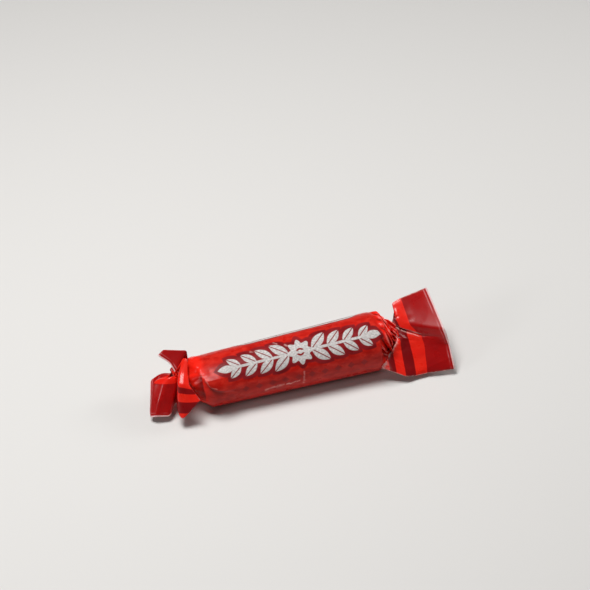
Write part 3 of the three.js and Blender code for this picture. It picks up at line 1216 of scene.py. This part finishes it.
class MaterialTree:
    """The node tree of a new material."""

    def __init__(self, name: str) -> None:
        """Makes an empty material.

        Args:
            name: The material's name.
        """
        self.material = bpy.data.materials.new(name)
        self.material.use_nodes = True
        self.tree = self.material.node_tree
        self.tree.nodes.clear()

    def add(
        self, kind: str, *terms: object, inputs: dict | None = None, **settings: object
    ) -> Socket | None:
        """Adds a node.

        Args:
            kind: A key of NODE_KINDS, or the operation of a sum.
            terms: Its inputs in order; a socket is linked, text is a hex colour.
            inputs: Further inputs by name.
            settings: Properties to set.

        Returns:
            The output that is read.
        """
        sum_kind = ("ShaderNodeMath", {"operation": kind}, (0, 1, 2), 0)
        node_type, preset, names, output = NODE_KINDS.get(kind, sum_kind)
        made = self.tree.nodes.new(node_type)
        for name, value in (preset | settings).items():
            setattr(made, name, value)
        for name, value in (dict(zip(names, terms)) | (inputs or {})).items():
            if isinstance(value, Socket):
                self.tree.links.new(value, made.inputs[name])
            else:
                made.inputs[name].default_value = linear(value) if isinstance(value, str) else value
        return None if output is None else made.outputs[output]

    def shade(self, inputs: dict[str, object]) -> bpy.types.Material:
        """Adds the shader with these inputs, and returns the material."""
        self.add("SURFACE", self.add("SHADER", inputs=inputs))
        return self.material


class FilmTree(MaterialTree):
    """The node tree of a printed film, with the film's u and v in millimetres as sockets."""

    def __init__(self, name: str) -> None:
        """Makes a material with only u and v in its tree.

        Args:
            name: The material's name.
        """
        super().__init__(name)
        film = self.add("FILM")
        self.u = self.add("DIVIDE", self.add("SPLIT_X", film), UV_SCALE)
        self.v = self.add("DIVIDE", self.add("SPLIT_Y", film), UV_SCALE)

    def apart(self, value: Socket, middle: float) -> Socket:
        """How far a value lies from a middle."""
        return self.add("ABSOLUTE", self.add("SUBTRACT", value, middle))

    def radius(self, x: Socket, y: Socket) -> Socket:
        """The root of x squared plus y squared."""
        return self.add("SQRT", self.add("MULTIPLY_ADD", y, y, self.add("MULTIPLY", x, x)))

    def turned(self, x: Socket, y: Socket, cosine: float, sine: float) -> tuple[Socket, Socket]:
        """(x, y) read along axes turned by an angle.

        They are x cosine plus y sine, and y cosine less x sine.

        Args:
            x: First value.
            y: Second value.
            cosine: The angle's cosine.
            sine: The angle's sine.

        Returns:
            Two sockets.
        """
        along = self.add("MULTIPLY_ADD", y, sine, self.add("MULTIPLY", x, cosine))
        return along, self.add("MULTIPLY_ADD", y, cosine, self.add("MULTIPLY", x, -sine))

    def noise(self, grain: Grain) -> Socket:
        """Noise over the film whose blotches are as long and as wide as the grain says."""
        u, v = self.add("DIVIDE", self.u, grain.along), self.add("DIVIDE", self.v, grain.around)
        return self.add("NOISE", self.add("JOIN", u, v), 1.0, grain.detail)

    def patches(self, grain: Grain) -> Socket:
        """That noise from 0 at the grain's low value to 1 at its high one."""
        return self.add("RAMP", self.noise(grain), grain.low, grain.high)

    def inked(
        self,
        under: Socket,
        ink: Socket | str,
        shape: Socket,
        edge: Span,
        cover: float = 1.0,
    ) -> Socket:
        """A colour with an ink over it.

        Args:
            under: The colour.
            ink: The ink's colour.
            shape: How far each place lies outside the inked shape, in millimetres.
            edge: Where the ink starts and where it is full.
            cover: How far the ink covers there.

        Returns:
            The colour of both.
        """
        return self.add("MIX", self.add("RAMP", shape, *edge, 0.0, cover), under, ink)


@dataclass(frozen=True)
class Spray:
    """Printed spray of leaves with a rosette in the middle, in millimetres of film and degrees."""

    middle_u: float = 1.4
    middle_angle: float = 118.0
    reach: float = 17.6
    pitch: float = 4.1
    last_leaf: float = 3.5  # no leaf is drawn past this many pitches
    leaf_length: float = 5.6
    leaf_width: float = 1.3
    leaf_tilt: float = 40.0
    leaf_shrink: float = 0.085  # what each leaf is smaller than the one before it
    rib: float = 0.13
    stem: float = 0.34
    tip_length: float = 4.6
    tip_start: float = 1.0  # how far before the stem's end the leaf on its tip starts
    tip_width: float = 1.05
    rosette: float = 2.9
    petals: float = 8.0
    petal: float = 0.5
    eye: float = 1.05
    seed: float = 0.55
    far: float = 50.0  # a distance that no shape reaches
    edge: Span = (0.07, -0.07)  # where the silver starts and where it is full
    halo_edge: Span = (1.35, 1.0)  # the same for the maroon ground round the whole spray

    def distances(self, film: FilmTree, middle_v: float) -> tuple[Socket, Socket]:
        """How far each place lies outside the silver of the spray, and outside the whole spray.

        The stem is a bar. A leaf is s times 1 less s wide at a share s of its length. The rosette
        is a ring whose radius swings with the cosine of the angle, with an eye cut out of it and a
        seed in that. Both halves are one half mirrored, and the leaves are one leaf in each cell.

        Args:
            film: The print.
            middle_v: v of the spray's middle.

        Returns:
            Two sockets.
        """
        add = film.add
        x0, y0 = add("SUBTRACT", film.u, self.middle_u), add("SUBTRACT", film.v, middle_v)
        x, y = add("ABSOLUTE", x0), add("ABSOLUTE", y0)
        aside = add("SUBTRACT", x, self.rosette)
        cell = add("FLOOR", add("DIVIDE", aside, self.pitch))
        stem = add("MAXIMUM", add("SUBTRACT", y, self.stem), add("SUBTRACT", x, self.reach))
        share = add("DIVIDE", add("SUBTRACT", x, self.reach - self.tip_start), self.tip_length)
        tip = add("SUBTRACT", y, self._half_width(film, share, 4 * self.tip_width))
        silver = whole = add("MINIMUM", stem, tip)
        for back in (0, 1):
            leaf, ribbed = self._leaf(film, aside, y, add("SUBTRACT", cell, back))
            silver, whole = add("MINIMUM", silver, ribbed), add("MINIMUM", whole, leaf)
        radius = film.radius(x0, y0)
        wave = add("COSINE", add("MULTIPLY", add("ARCTAN2", y0, x0), self.petals))
        flower = add("SUBTRACT", radius, add("MULTIPLY_ADD", wave, self.petal, self.rosette))
        ring = add("MAXIMUM", flower, add("SUBTRACT", self.eye, radius))
        ring = add("MINIMUM", ring, add("SUBTRACT", radius, self.seed))
        return add("MINIMUM", silver, ring), add("MINIMUM", whole, flower)

    def _half_width(self, film: FilmTree, share: Socket, width: float | Socket) -> Socket:
        """Half the width of a leaf at a share s of its length: s times 1 less s times width."""
        rest = film.add("SUBTRACT", 1.0, share)
        return film.add("MULTIPLY", film.add("MULTIPLY", share, rest), width)

    def _leaf(
        self, film: FilmTree, aside: Socket, y: Socket, count: Socket
    ) -> tuple[Socket, Socket]:
        """How far each place lies outside its leaf, and outside the leaf's silver.

        Args:
            film: The print.
            aside: Distance from the rosette along the stem.
            y: Distance from the stem.
            count: Which leaf it is.

        Returns:
            Two sockets.
        """
        add, tilt = film.add, math.radians(self.leaf_tilt)
        x = add("SUBTRACT", aside, add("MULTIPLY", count, self.pitch))
        grown = add("MULTIPLY_ADD", count, -self.leaf_shrink, 1.0)
        reach, off = film.turned(x, y, math.cos(tilt), math.sin(tilt))
        off = add("ABSOLUTE", off)
        share = add("DIVIDE", reach, add("MULTIPLY", grown, self.leaf_length))
        width = add("MULTIPLY", grown, 4 * self.leaf_width)
        leaf = add("SUBTRACT", off, self._half_width(film, share, width))
        early = add("MULTIPLY_ADD", count, -self.far, -self.far / 2)
        late = add("MULTIPLY_ADD", count, self.far, -self.far * self.last_leaf)
        leaf = add("MAXIMUM", leaf, add("MAXIMUM", early, late))
        return leaf, add("MAXIMUM", leaf, add("SUBTRACT", self.rib, off))


@dataclass(frozen=True)
class Lozenges:
    """A printed row of small lozenges below the spray, in millimetres of film and degrees."""

    middle_u: float = 1.4
    angle: float = 172.0
    reach: float = 16.5
    pitch: float = 3.4
    half_width: float = 0.95
    slope: float = 1.15  # how much faster they narrow round the film than along it
    edge: Span = (0.15, -0.15)
    cover: float = 0.6

    def distance(self, film: FilmTree, middle_v: float) -> Socket:
        """How far outside a lozenge each place is.

        It is the distance to the nearest lozenge's middle along the film plus that round the film,
        times the slope, less the half width.

        Args:
            film: The print.
            middle_v: v of the row's middle.

        Returns:
            A socket.
        """
        add = film.add
        x, y = add("PINGPONG", film.u, self.pitch / 2), film.apart(film.v, middle_v)
        lozenge = add("SUBTRACT", add("MULTIPLY_ADD", y, self.slope, x), self.half_width)
        beyond = add("SUBTRACT", film.apart(film.u, self.middle_u), self.reach)
        return add("MAXIMUM", lozenge, beyond)


@dataclass(frozen=True)
class Panel:
    """A printed plain bar with round ends over the rear top, outlined twice."""

    middle_u: float = 3.0
    angle: float = 25.0
    half_length: float = 12.5
    radius: float = 4.7
    edge: Span = (0.1, -0.1)
    outline: float = 0.75  # how far inside the bar's edge the outline's middle lies
    outline_edge: Span = (0.45, 0.32)  # from that middle, where it starts and where it is full
    hairline: float = 2.0
    hairline_edge: Span = (0.20, 0.10)

    def distance(self, film: FilmTree, middle_v: float) -> Socket:
        """How far outside the bar each place is: its distance to the middle line less the radius.

        Args:
            film: The print.
            middle_v: v of the bar's middle.

        Returns:
            A socket.
        """
        add = film.add
        beyond = add("SUBTRACT", film.apart(film.u, self.middle_u), self.half_length)
        x, y = add("MAXIMUM", beyond, 0.0), add("SUBTRACT", film.v, middle_v)
        return add("SUBTRACT", film.radius(x, y), self.radius)


@dataclass(frozen=True)
class CrinkleGlint:
    """A painted highlight along a crinkle of the roll's film, from one film place to another, in
    millimetres.
    """

    start: tuple[float, float]
    end: tuple[float, float]
    width: float
    strength: float

    def share(self, film: FilmTree, aside: Socket, breaks: Socket) -> Socket:
        """How much painted highlight the film has: its strength on the line, falling to nothing
        over its width.

        The distance from the line is the root of the squares of how far past an end and how far
        aside a place is.

        Args:
            film: The print.
            aside: How far the crinkle wanders off its line there.
            breaks: 0 where it is broken off.

        Returns:
            The share.
        """
        add = film.add
        (u0, v0), (u1, v1) = self.start, self.end
        length = math.hypot(u1 - u0, v1 - v0)
        cosine, sine = (u1 - u0) / length, (v1 - v0) / length
        u, v = add("SUBTRACT", film.u, (u0 + u1) / 2), add("SUBTRACT", film.v, (v0 + v1) / 2)
        run, off = film.turned(u, v, cosine, sine)
        past = add("MAXIMUM", add("SUBTRACT", add("ABSOLUTE", run), length / 2), 0.0)
        away = film.radius(past, add("ADD", off, aside))
        near = add("RAMP", away, self.width, 0.0, 0.0, self.strength)
        return add("MULTIPLY", near, breaks)


@dataclass(frozen=True)
class PrintedFilm:
    """Thin glossy polypropylene film, gravure printed in red, maroon and silver.

    The clear film over the ink gives a broad soft sheen with small sharp glints; where it lies on
    the caramel, the ink looks duller and blotched, and where it stands free it looks bright.
    """

    red_free: str = "#E81C10"
    red_bright: str = "#F02818"
    red_tight: str = "#C41C12"
    red_blotch: str = "#A4140E"
    red_fleck: str = "#CC2C20"
    maroon: str = "#8E2226"
    maroon_shade: str = "#721317"
    # painted shade: the colour of pleat bottoms, of the film past bends and below the lip
    painted_shade_colour: str = "#5A060A"
    stripe_colours: tuple[str, str] = ("#78060A", "#86080C")
    band_colours: tuple[str, str] = ("#9A080A", "#AC0E0E")
    back_colour: str = "#7A2A2C"
    back_share: float = 0.3
    rim_colour: str = "#E6B8B8"
    edge_line_colour: str = "#C46C6E"
    silver: str = "#D9D5D2"
    silver_grain: str = "#A39E9C"
    # pale lines on folds and on each crinkle: crease whitening and painted highlights
    whitening_glint_colour: str = "#FCD2CA"
    whitening_glint_share: float = 0.8
    # how far the painted shade goes towards its colour
    painted_shade_depth: float = 0.8
    roughness: float = 0.30
    rougher: Span = (-0.05, 0.07)  # how far the roughness swings
    refraction: float = REFRACTION
    bump: tuple[float, float] = (0.12, 0.00025)  # strength, and height in metres
    gloss_tight: tuple[float, float] = (0.12, 0.07)  # specular level and coat weight
    gloss_free: tuple[float, float] = (0.24, 0.14)
    coat_roughness: float = 0.12
    through_free: float = 0.12  # share of the light that goes through the film and comes out red
    through_tight: float = 0.0
    through_reach: tuple[float, float, float] = (2.2, 0.25, 0.15)  # how far it goes, in millimetres
    blotch: Grain = Grain(7.0, 2.2, 5.0, 0.36, 0.66)
    fleck: Grain = Grain(2.2, 1.4, 3.0, 0.42, 0.70)
    maroon_patches: Grain = Grain(5.0, 2.0, 3.0, 0.35, 0.70)
    stripe_patches: Grain = Grain(5.0, 5.0, 3.0, 0.35, 0.70)
    silver_flakes: Grain = Grain(0.55, 0.4, 4.0, 0.30, 0.72)
    crease_breaks: Grain = Grain(0.8, 0.8, 3.0, 0.36, 0.56)
    crinkle_breaks: Grain = Grain(1.3, 0.9, 3.0, 0.34, 0.52)
    line_breaks: Grain = Grain(1.5, 4.0, 2.0, 0.40, 0.62)
    wander: Grain = Grain(2.4, 2.4, 2.0)
    wander_reach: float = 1.5  # how far a crinkle wanders at most, in millimetres
    ripple: Grain = Grain(2.2, 1.8, 3.0)
    sheen: Grain = Grain(3.4, 2.6, 2.0, 0.3, 0.7)
    strip_width: float = 2.8  # of the unprinted strip along the film's overlapping edge
    strip_end: float = 1.0  # how far before the roll's end it stops
    strip_edge: Span = (0.1, -0.1)
    seam_line: Span = (0.45, 0.3)  # of the red line along that edge, where it starts and is full
    stripes: tuple[tuple[float, float], ...] = ((3.0, 1.42), (2.2, 0.75))  # gap, half a stripe
    stripe_edge: Span = (0.06, -0.06)
    band_joint: Span = (1.6, 1.4)  # past the band, where the maroon turns from stripe to band
    edge_line: float = 0.95  # from the cut edge, a pale broken line
    edge_line_width: Span = (0.20, 0.06)  # from its middle, where it starts and where it is full
    rim: Span = (0.42, 0.26)  # from the cut edge, where a pale band starts and is full
    # painted highlights, each along a crinkle of the roll's film
    crinkle_glints: tuple[CrinkleGlint, ...] = (
        CrinkleGlint((-8.6, 27.7), (-4.0, 27.2), 0.40, 0.35),
        CrinkleGlint((-3.2, 27.3), (0.1, 27.0), 0.28, 0.60),
        CrinkleGlint((1.5, 24.8), (1.3, 28.2), 0.36, 0.28),
        CrinkleGlint((-4.3, 15.2), (-3.5, 15.7), 0.30, 0.40),
        CrinkleGlint((-1.9, 16.7), (-0.3, 18.0), 0.30, 0.40),
        CrinkleGlint((-10.6, 16.2), (-8.0, 16.6), 0.26, 0.25),
        CrinkleGlint((-23.6, 19.8), (-22.6, 22.2), 0.22, 0.22),
        CrinkleGlint((-22.4, 22.5), (-20.9, 24.0), 0.22, 0.25),
    )

    def _base_red(self, film: FilmTree) -> Socket:
        """The red ground: blotched along the roll where it is tight, bright where it is free.

        Args:
            film: The print.

        Returns:
            Its colour.
        """
        blotch = film.patches(self.blotch)
        tight = film.add("MIX", blotch, self.red_blotch, self.red_tight)
        tight = film.add("MIX", film.patches(self.fleck), tight, self.red_fleck)
        free = film.add("MIX", blotch, self.red_free, self.red_bright)
        return film.add("MIX", film.add("MARK", attribute_name=LOOSE), tight, free)

    def _paint_fold_shade_and_lines(self, film: FilmTree, colour: Socket) -> Socket:
        """Paints shade into pleat bottoms and past bends, and broken pale lines on sharp folds:
        whitening with painted highlights.

        Args:
            film: The print.
            colour: Its colour.

        Returns:
            The new colour.
        """
        painted_shade = film.add("MULTIPLY", film.add("MARK", attribute_name=PAINTED_SHADE), self.painted_shade_depth)
        colour = film.add("MIX", painted_shade, colour, self.painted_shade_colour)
        breaks = film.patches(self.crease_breaks)
        broken = film.add("MULTIPLY", film.add("MARK", attribute_name=WHITENING_AND_GLINT), breaks)
        crease = film.add("MULTIPLY", broken, self.whitening_glint_share)
        return film.add("MIX", crease, colour, self.whitening_glint_colour)

    def _paint_crinkle_glints(self, film: FilmTree, colour: Socket) -> Socket:
        """Paints a highlight along each crinkle, which wanders a little and is broken.

        Args:
            film: The print.
            colour: Its colour.

        Returns:
            The new colour.
        """
        aside = film.add("SUBTRACT", film.noise(self.wander), 0.5)
        aside = film.add("MULTIPLY", aside, self.wander_reach)
        breaks = film.patches(self.crinkle_breaks)
        for crinkle in self.crinkle_glints:
            share = crinkle.share(film, aside, breaks)
            colour = film.add("MIX", share, colour, self.whitening_glint_colour)
        return colour

    def _finish(
        self, film: FilmTree, colour: Socket, through: float, gloss: tuple[float, float]
    ) -> bpy.types.Material:
        """Adds the painted shade and pale lines of the film's folds, its gloss and its fine ripple.

        Args:
            film: The print.
            colour: Its colour.
            through: Share of the light that goes through the film and comes out red.
            gloss: Specular level and coat weight.

        Returns:
            The material.
        """
        rough = [self.roughness + swing for swing in self.rougher]
        sheen = film.noise(self.sheen)
        return film.shade(
            {
                "Base Color": self._paint_fold_shade_and_lines(film, colour),
                "Roughness": film.add("RAMP", sheen, self.sheen.low, self.sheen.high, *rough),
                "IOR": self.refraction,
                "Specular IOR Level": gloss[0],
                "Subsurface Weight": through,
                "Subsurface Radius": self.through_reach,
                "Subsurface Scale": MM,
                "Coat Weight": gloss[1],
                "Coat Roughness": self.coat_roughness,
                "Normal": film.add("BUMP", *self.bump, film.noise(self.ripple)),
            }
        )

    def roll(self, wrapper: RollFilm) -> bpy.types.Material:
        """The print over the roll: the spray, the lozenges, the panel and the unprinted strip.

        Args:
            wrapper: The film on which it is printed.

        Returns:
            The material.
        """

        def place(degrees: float) -> float:
            """v at a ring angle."""
            return wrapper.roll.film_radius() * (math.radians(degrees) - wrapper.seam_angle)

        film = FilmTree("printed polypropylene film, roll")
        add = film.add
        spray, lozenges, panel = Spray(), Lozenges(), Panel()
        silver_lines, whole_spray = spray.distances(film, place(spray.middle_angle))
        bar = panel.distance(film, place(panel.angle))
        outline = film.apart(bar, -panel.outline)
        hairline = film.apart(bar, -panel.hairline)
        past = add("SUBTRACT", add("ABSOLUTE", film.u), wrapper.roll.length / 2 - self.strip_end)
        strip = add("MAXIMUM", add("SUBTRACT", film.v, self.strip_width), past)
        flakes = film.patches(self.silver_flakes)
        silver = add("MIX", flakes, self.silver_grain, self.silver)
        maroon = add("MIX", film.patches(self.maroon_patches), self.maroon_shade, self.maroon)
        row = lozenges.distance(film, place(lozenges.angle))
        colour = film.inked(self._base_red(film), maroon, row, lozenges.edge, lozenges.cover)
        for ink, shape, edge in (
            (maroon, bar, panel.edge),
            (silver, outline, panel.outline_edge),
            (silver, hairline, panel.hairline_edge),
            (maroon, whole_spray, spray.halo_edge),
            (silver, silver_lines, spray.edge),
            (silver, strip, self.strip_edge),
            (self.red_free, film.v, self.seam_line),
        ):
            colour = film.inked(colour, ink, shape, edge)
        # paints a highlight along each crinkle of the roll's film
        colour = self._paint_crinkle_glints(film, colour)
        return self._finish(film, colour, self.through_tight, self.gloss_tight)

    def fan(self, edge_band: float, inside: bool) -> bpy.types.Material:
        """The striped print of a fan: a maroon band by its cut edge, then two narrower stripes.

        Args:
            edge_band: Width of the maroon band at the cut edge, in millimetres.
            inside: True for the film's inner face, where the ink shows duller from behind.

        Returns:
            The material.
        """
        side = "inside" if inside else "outside"
        film = FilmTree(f"printed polypropylene film, fan {edge_band:g} mm, {side}")
        add, u = film.add, film.u
        dark = add("SUBTRACT", u, edge_band)
        middle = edge_band
        for gap, half in self.stripes:
            middle += gap + half
            dark = add("MINIMUM", dark, add("SUBTRACT", film.apart(u, middle), half))
            middle += half
        patches = film.patches(self.stripe_patches)
        stripes = add("MIX", patches, *self.stripe_colours)
        band = add("MIX", patches, *self.band_colours)
        joint = (edge_band + self.band_joint[0], edge_band + self.band_joint[1])
        maroon = film.inked(stripes, band, u, joint)
        colour = film.inked(self._base_red(film), maroon, dark, self.stripe_edge)
        if inside:
            colour = add("MIX", self.back_share, colour, self.back_colour)
        line = add("RAMP", film.apart(u, self.edge_line), *self.edge_line_width)
        share = add("MULTIPLY", line, film.patches(self.line_breaks))
        colour = add("MIX", share, colour, self.edge_line_colour)
        colour = film.inked(colour, self.rim_colour, u, self.rim)
        return self._finish(film, colour, self.through_free, self.gloss_free)


@dataclass(frozen=True)
class FilmCut:
    """The cut edge of polypropylene film.

    Light that has run inside the film comes out there, so it shows as a pale pink line.
    """

    colour: str = "#E8C4C4"
    shade: str = "#C98A8C"
    roughness: float = 0.4
    refraction: float = REFRACTION
    unevenness: tuple[float, float] = (600.0, 3.0)  # scale to a metre, and detail

    def make(self) -> bpy.types.Material:
        """Makes it a little uneven along the edge.

        Returns:
            The material.
        """
        edge = MaterialTree("cut edge of polypropylene film")
        uneven = edge.add("NOISE", edge.add("OBJECT"), *self.unevenness)
        colour = edge.add("MIX", uneven, self.shade, self.colour)
        inputs = {"Base Color": colour, "Roughness": self.roughness, "IOR": self.refraction}
        return edge.shade(inputs)


@dataclass(frozen=True)
class MattPaper:
    """Pale matt paper, whose fibres give a faint grain and no shine."""

    colour: str = "#D4D2CF"
    roughness: float = 0.75
    fibres: tuple[float, float] = (700.0, 3.0)  # scale to a metre, and detail
    bump: tuple[float, float] = (0.05, 0.0002)  # strength, and height in metres

    def make(self) -> bpy.types.Material:
        """Makes the paper with its faint grain.

        Returns:
            The material.
        """
        paper = MaterialTree("matt paper")
        fibres = paper.add("NOISE", paper.add("OBJECT"), *self.fibres)
        bump = paper.add("BUMP", *self.bump, fibres)
        inputs = {"Base Color": linear(self.colour), "Roughness": self.roughness, "Normal": bump}
        return paper.shade(inputs)


# ---------------------------------------------------------------------------------------------
# The studio
# ---------------------------------------------------------------------------------------------


@dataclass(frozen=True)
class Softbox:
    """A square soft light: its place and side in millimetres, and its power in watts."""

    name: str
    place: tuple[float, float, float]
    size: float
    power: float


@dataclass
class Studio:
    """Pale floor, soft lights and the camera."""

    image_size: float = 590.0
    sensor: float = 36.0
    lens: float = 97.0
    azimuth: float = -17.3
    elevation: float = 45.0
    distance: float = 400.0
    target: tuple[float, float, float] = (0.0, 0.0, 6.9)
    target_pixel: tuple[float, float] = (290.5, 359.5)  # where the target shows in the image
    clip: Span = (0.01, 10.0)  # in metres
    floor_half: float = 900.0
    world_colour: str = "#F4F3F2"
    world_strength: float = 0.09
    lights: tuple[Softbox, ...] = (
        Softbox("overhead softbox", (-90, 60, 430), 170, 2.0),
        Softbox("left softbox", (-430, -110, 210), 95, 0.32),
        Softbox("right softbox", (330, 40, 230), 110, 0.35),
    )

    def _aimed(self, name: str, data: bpy.types.ID, place: Vector, aim: Vector) -> bpy.types.Object:
        """Puts a camera or a light at a place and turns it to an aim.

        Args:
            name: The object's name.
            data: The camera or the light.
            place: Its place, in millimetres.
            aim: What it looks at, in millimetres.

        Returns:
            The object.
        """
        made = add_object(name, data)
        made.location = place * MM
        made.rotation_mode = "QUATERNION"
        made.rotation_quaternion = (aim - place).to_track_quat("-Z", "Y")
        return made

    def camera(self) -> bpy.types.Object:
        """The camera, aimed so that the target shows at its pixel.

        The aim is the target moved along the camera's right and up by how far the pixel lies from
        the image's middle, over the focal length in pixels, times the distance.

        Returns:
            The camera.
        """
        azimuth, elevation = math.radians(self.azimuth), math.radians(self.elevation)
        flat = math.cos(elevation)
        back = Vector((math.sin(azimuth) * flat, -math.cos(azimuth) * flat, math.sin(elevation)))
        right = Vector((math.cos(azimuth), math.sin(azimuth), 0.0))
        focal = self.lens / self.sensor * self.image_size
        aside = (self.image_size / 2 - self.target_pixel[0]) / focal * self.distance
        above = (self.target_pixel[1] - self.image_size / 2) / focal * self.distance
        target = Vector(self.target)
        data = bpy.data.cameras.new("camera")
        data.lens, data.sensor_width = self.lens, self.sensor
        data.clip_start, data.clip_end = self.clip
        aim = target + right * aside + back.cross(right) * above
        made = self._aimed("camera", data, target + back * self.distance, aim)
        bpy.context.scene.camera = made
        return made

    def floor(self) -> bpy.types.Object:
        """A pale matt floor at the height on which the candy lies.

        Returns:
            The floor.
        """
        half = self.floor_half * MM
        data = bpy.data.meshes.new("floor")
        corners = [(-half, -half, 0), (half, -half, 0), (half, half, 0), (-half, half, 0)]
        data.from_pydata(corners, [], [(0, 1, 2, 3)])
        data.materials.append(MattPaper().make())
        made = add_object("floor", data)
        return made

    def light(self, softbox: Softbox) -> bpy.types.Object:
        """A soft light, aimed at the candy.

        Args:
            softbox: Its sizes.

        Returns:
            The light.
        """
        data = bpy.data.lights.new(softbox.name, "AREA")
        data.energy, data.size = softbox.power, softbox.size * MM
        return self._aimed(softbox.name, data, Vector(softbox.place), Vector(self.target))

    def build(self) -> None:
        """Makes the floor, the lights, the world and the camera."""
        self.floor()
        for softbox in self.lights:
            self.light(softbox)
        world = bpy.data.worlds.new("studio")
        world.use_nodes = True
        background = world.node_tree.nodes["Background"]
        background.inputs["Color"].default_value = linear(self.world_colour)
        background.inputs["Strength"].default_value = self.world_strength
        scene = bpy.context.scene
        scene.world = world
        scene.view_settings.view_transform = "Standard"
        scene.view_settings.look = "None"
        self.camera()


# ---------------------------------------------------------------------------------------------
# The candy
# ---------------------------------------------------------------------------------------------


@dataclass
class WrappedCaramel:
    """The whole candy: the film over the roll and the two fans."""

    film: RollFilm = field(default_factory=RollFilm)
    finish: PrintedFilm = PrintedFilm()
    edge_band_right: float = 6.7
    edge_band_left: float = 8.5

    def build(self) -> list[bpy.types.Object]:
        """Builds and dresses every piece, ties each to the body, and hides the model's node it
        stands for.

        Returns:
            The pieces: the roll, the right fan and the left fan.
        """
        cut = FilmCut().make()
        roll = self.film.build()
        roll.data.materials.append(self.finish.roll(self.film))
        pieces = [roll]
        right_fan = Fan(RIGHT, self.film, layers=2)
        left_fan = Fan(LEFT, self.film, layers=1)
        for fan, band in ((right_fan, self.edge_band_right), (left_fan, self.edge_band_left)):
            made = fan.build()
            for material in (self.finish.fan(band, False), self.finish.fan(band, True), cut):
                made.data.materials.append(material)
            pieces.append(made)
        for piece in pieces:
            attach(piece, BODY)
            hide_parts(WRAPPER_NODE)
            log.info("%s: %d faces", piece.name, len(piece.data.polygons))
        return pieces


def main() -> None:
    """Builds the studio and the candy."""
    logging.basicConfig(level=logging.INFO, format="%(name)s: %(message)s")
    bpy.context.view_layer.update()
    Studio().build()
    WrappedCaramel().build()


if __name__ == "__main__":
    main()
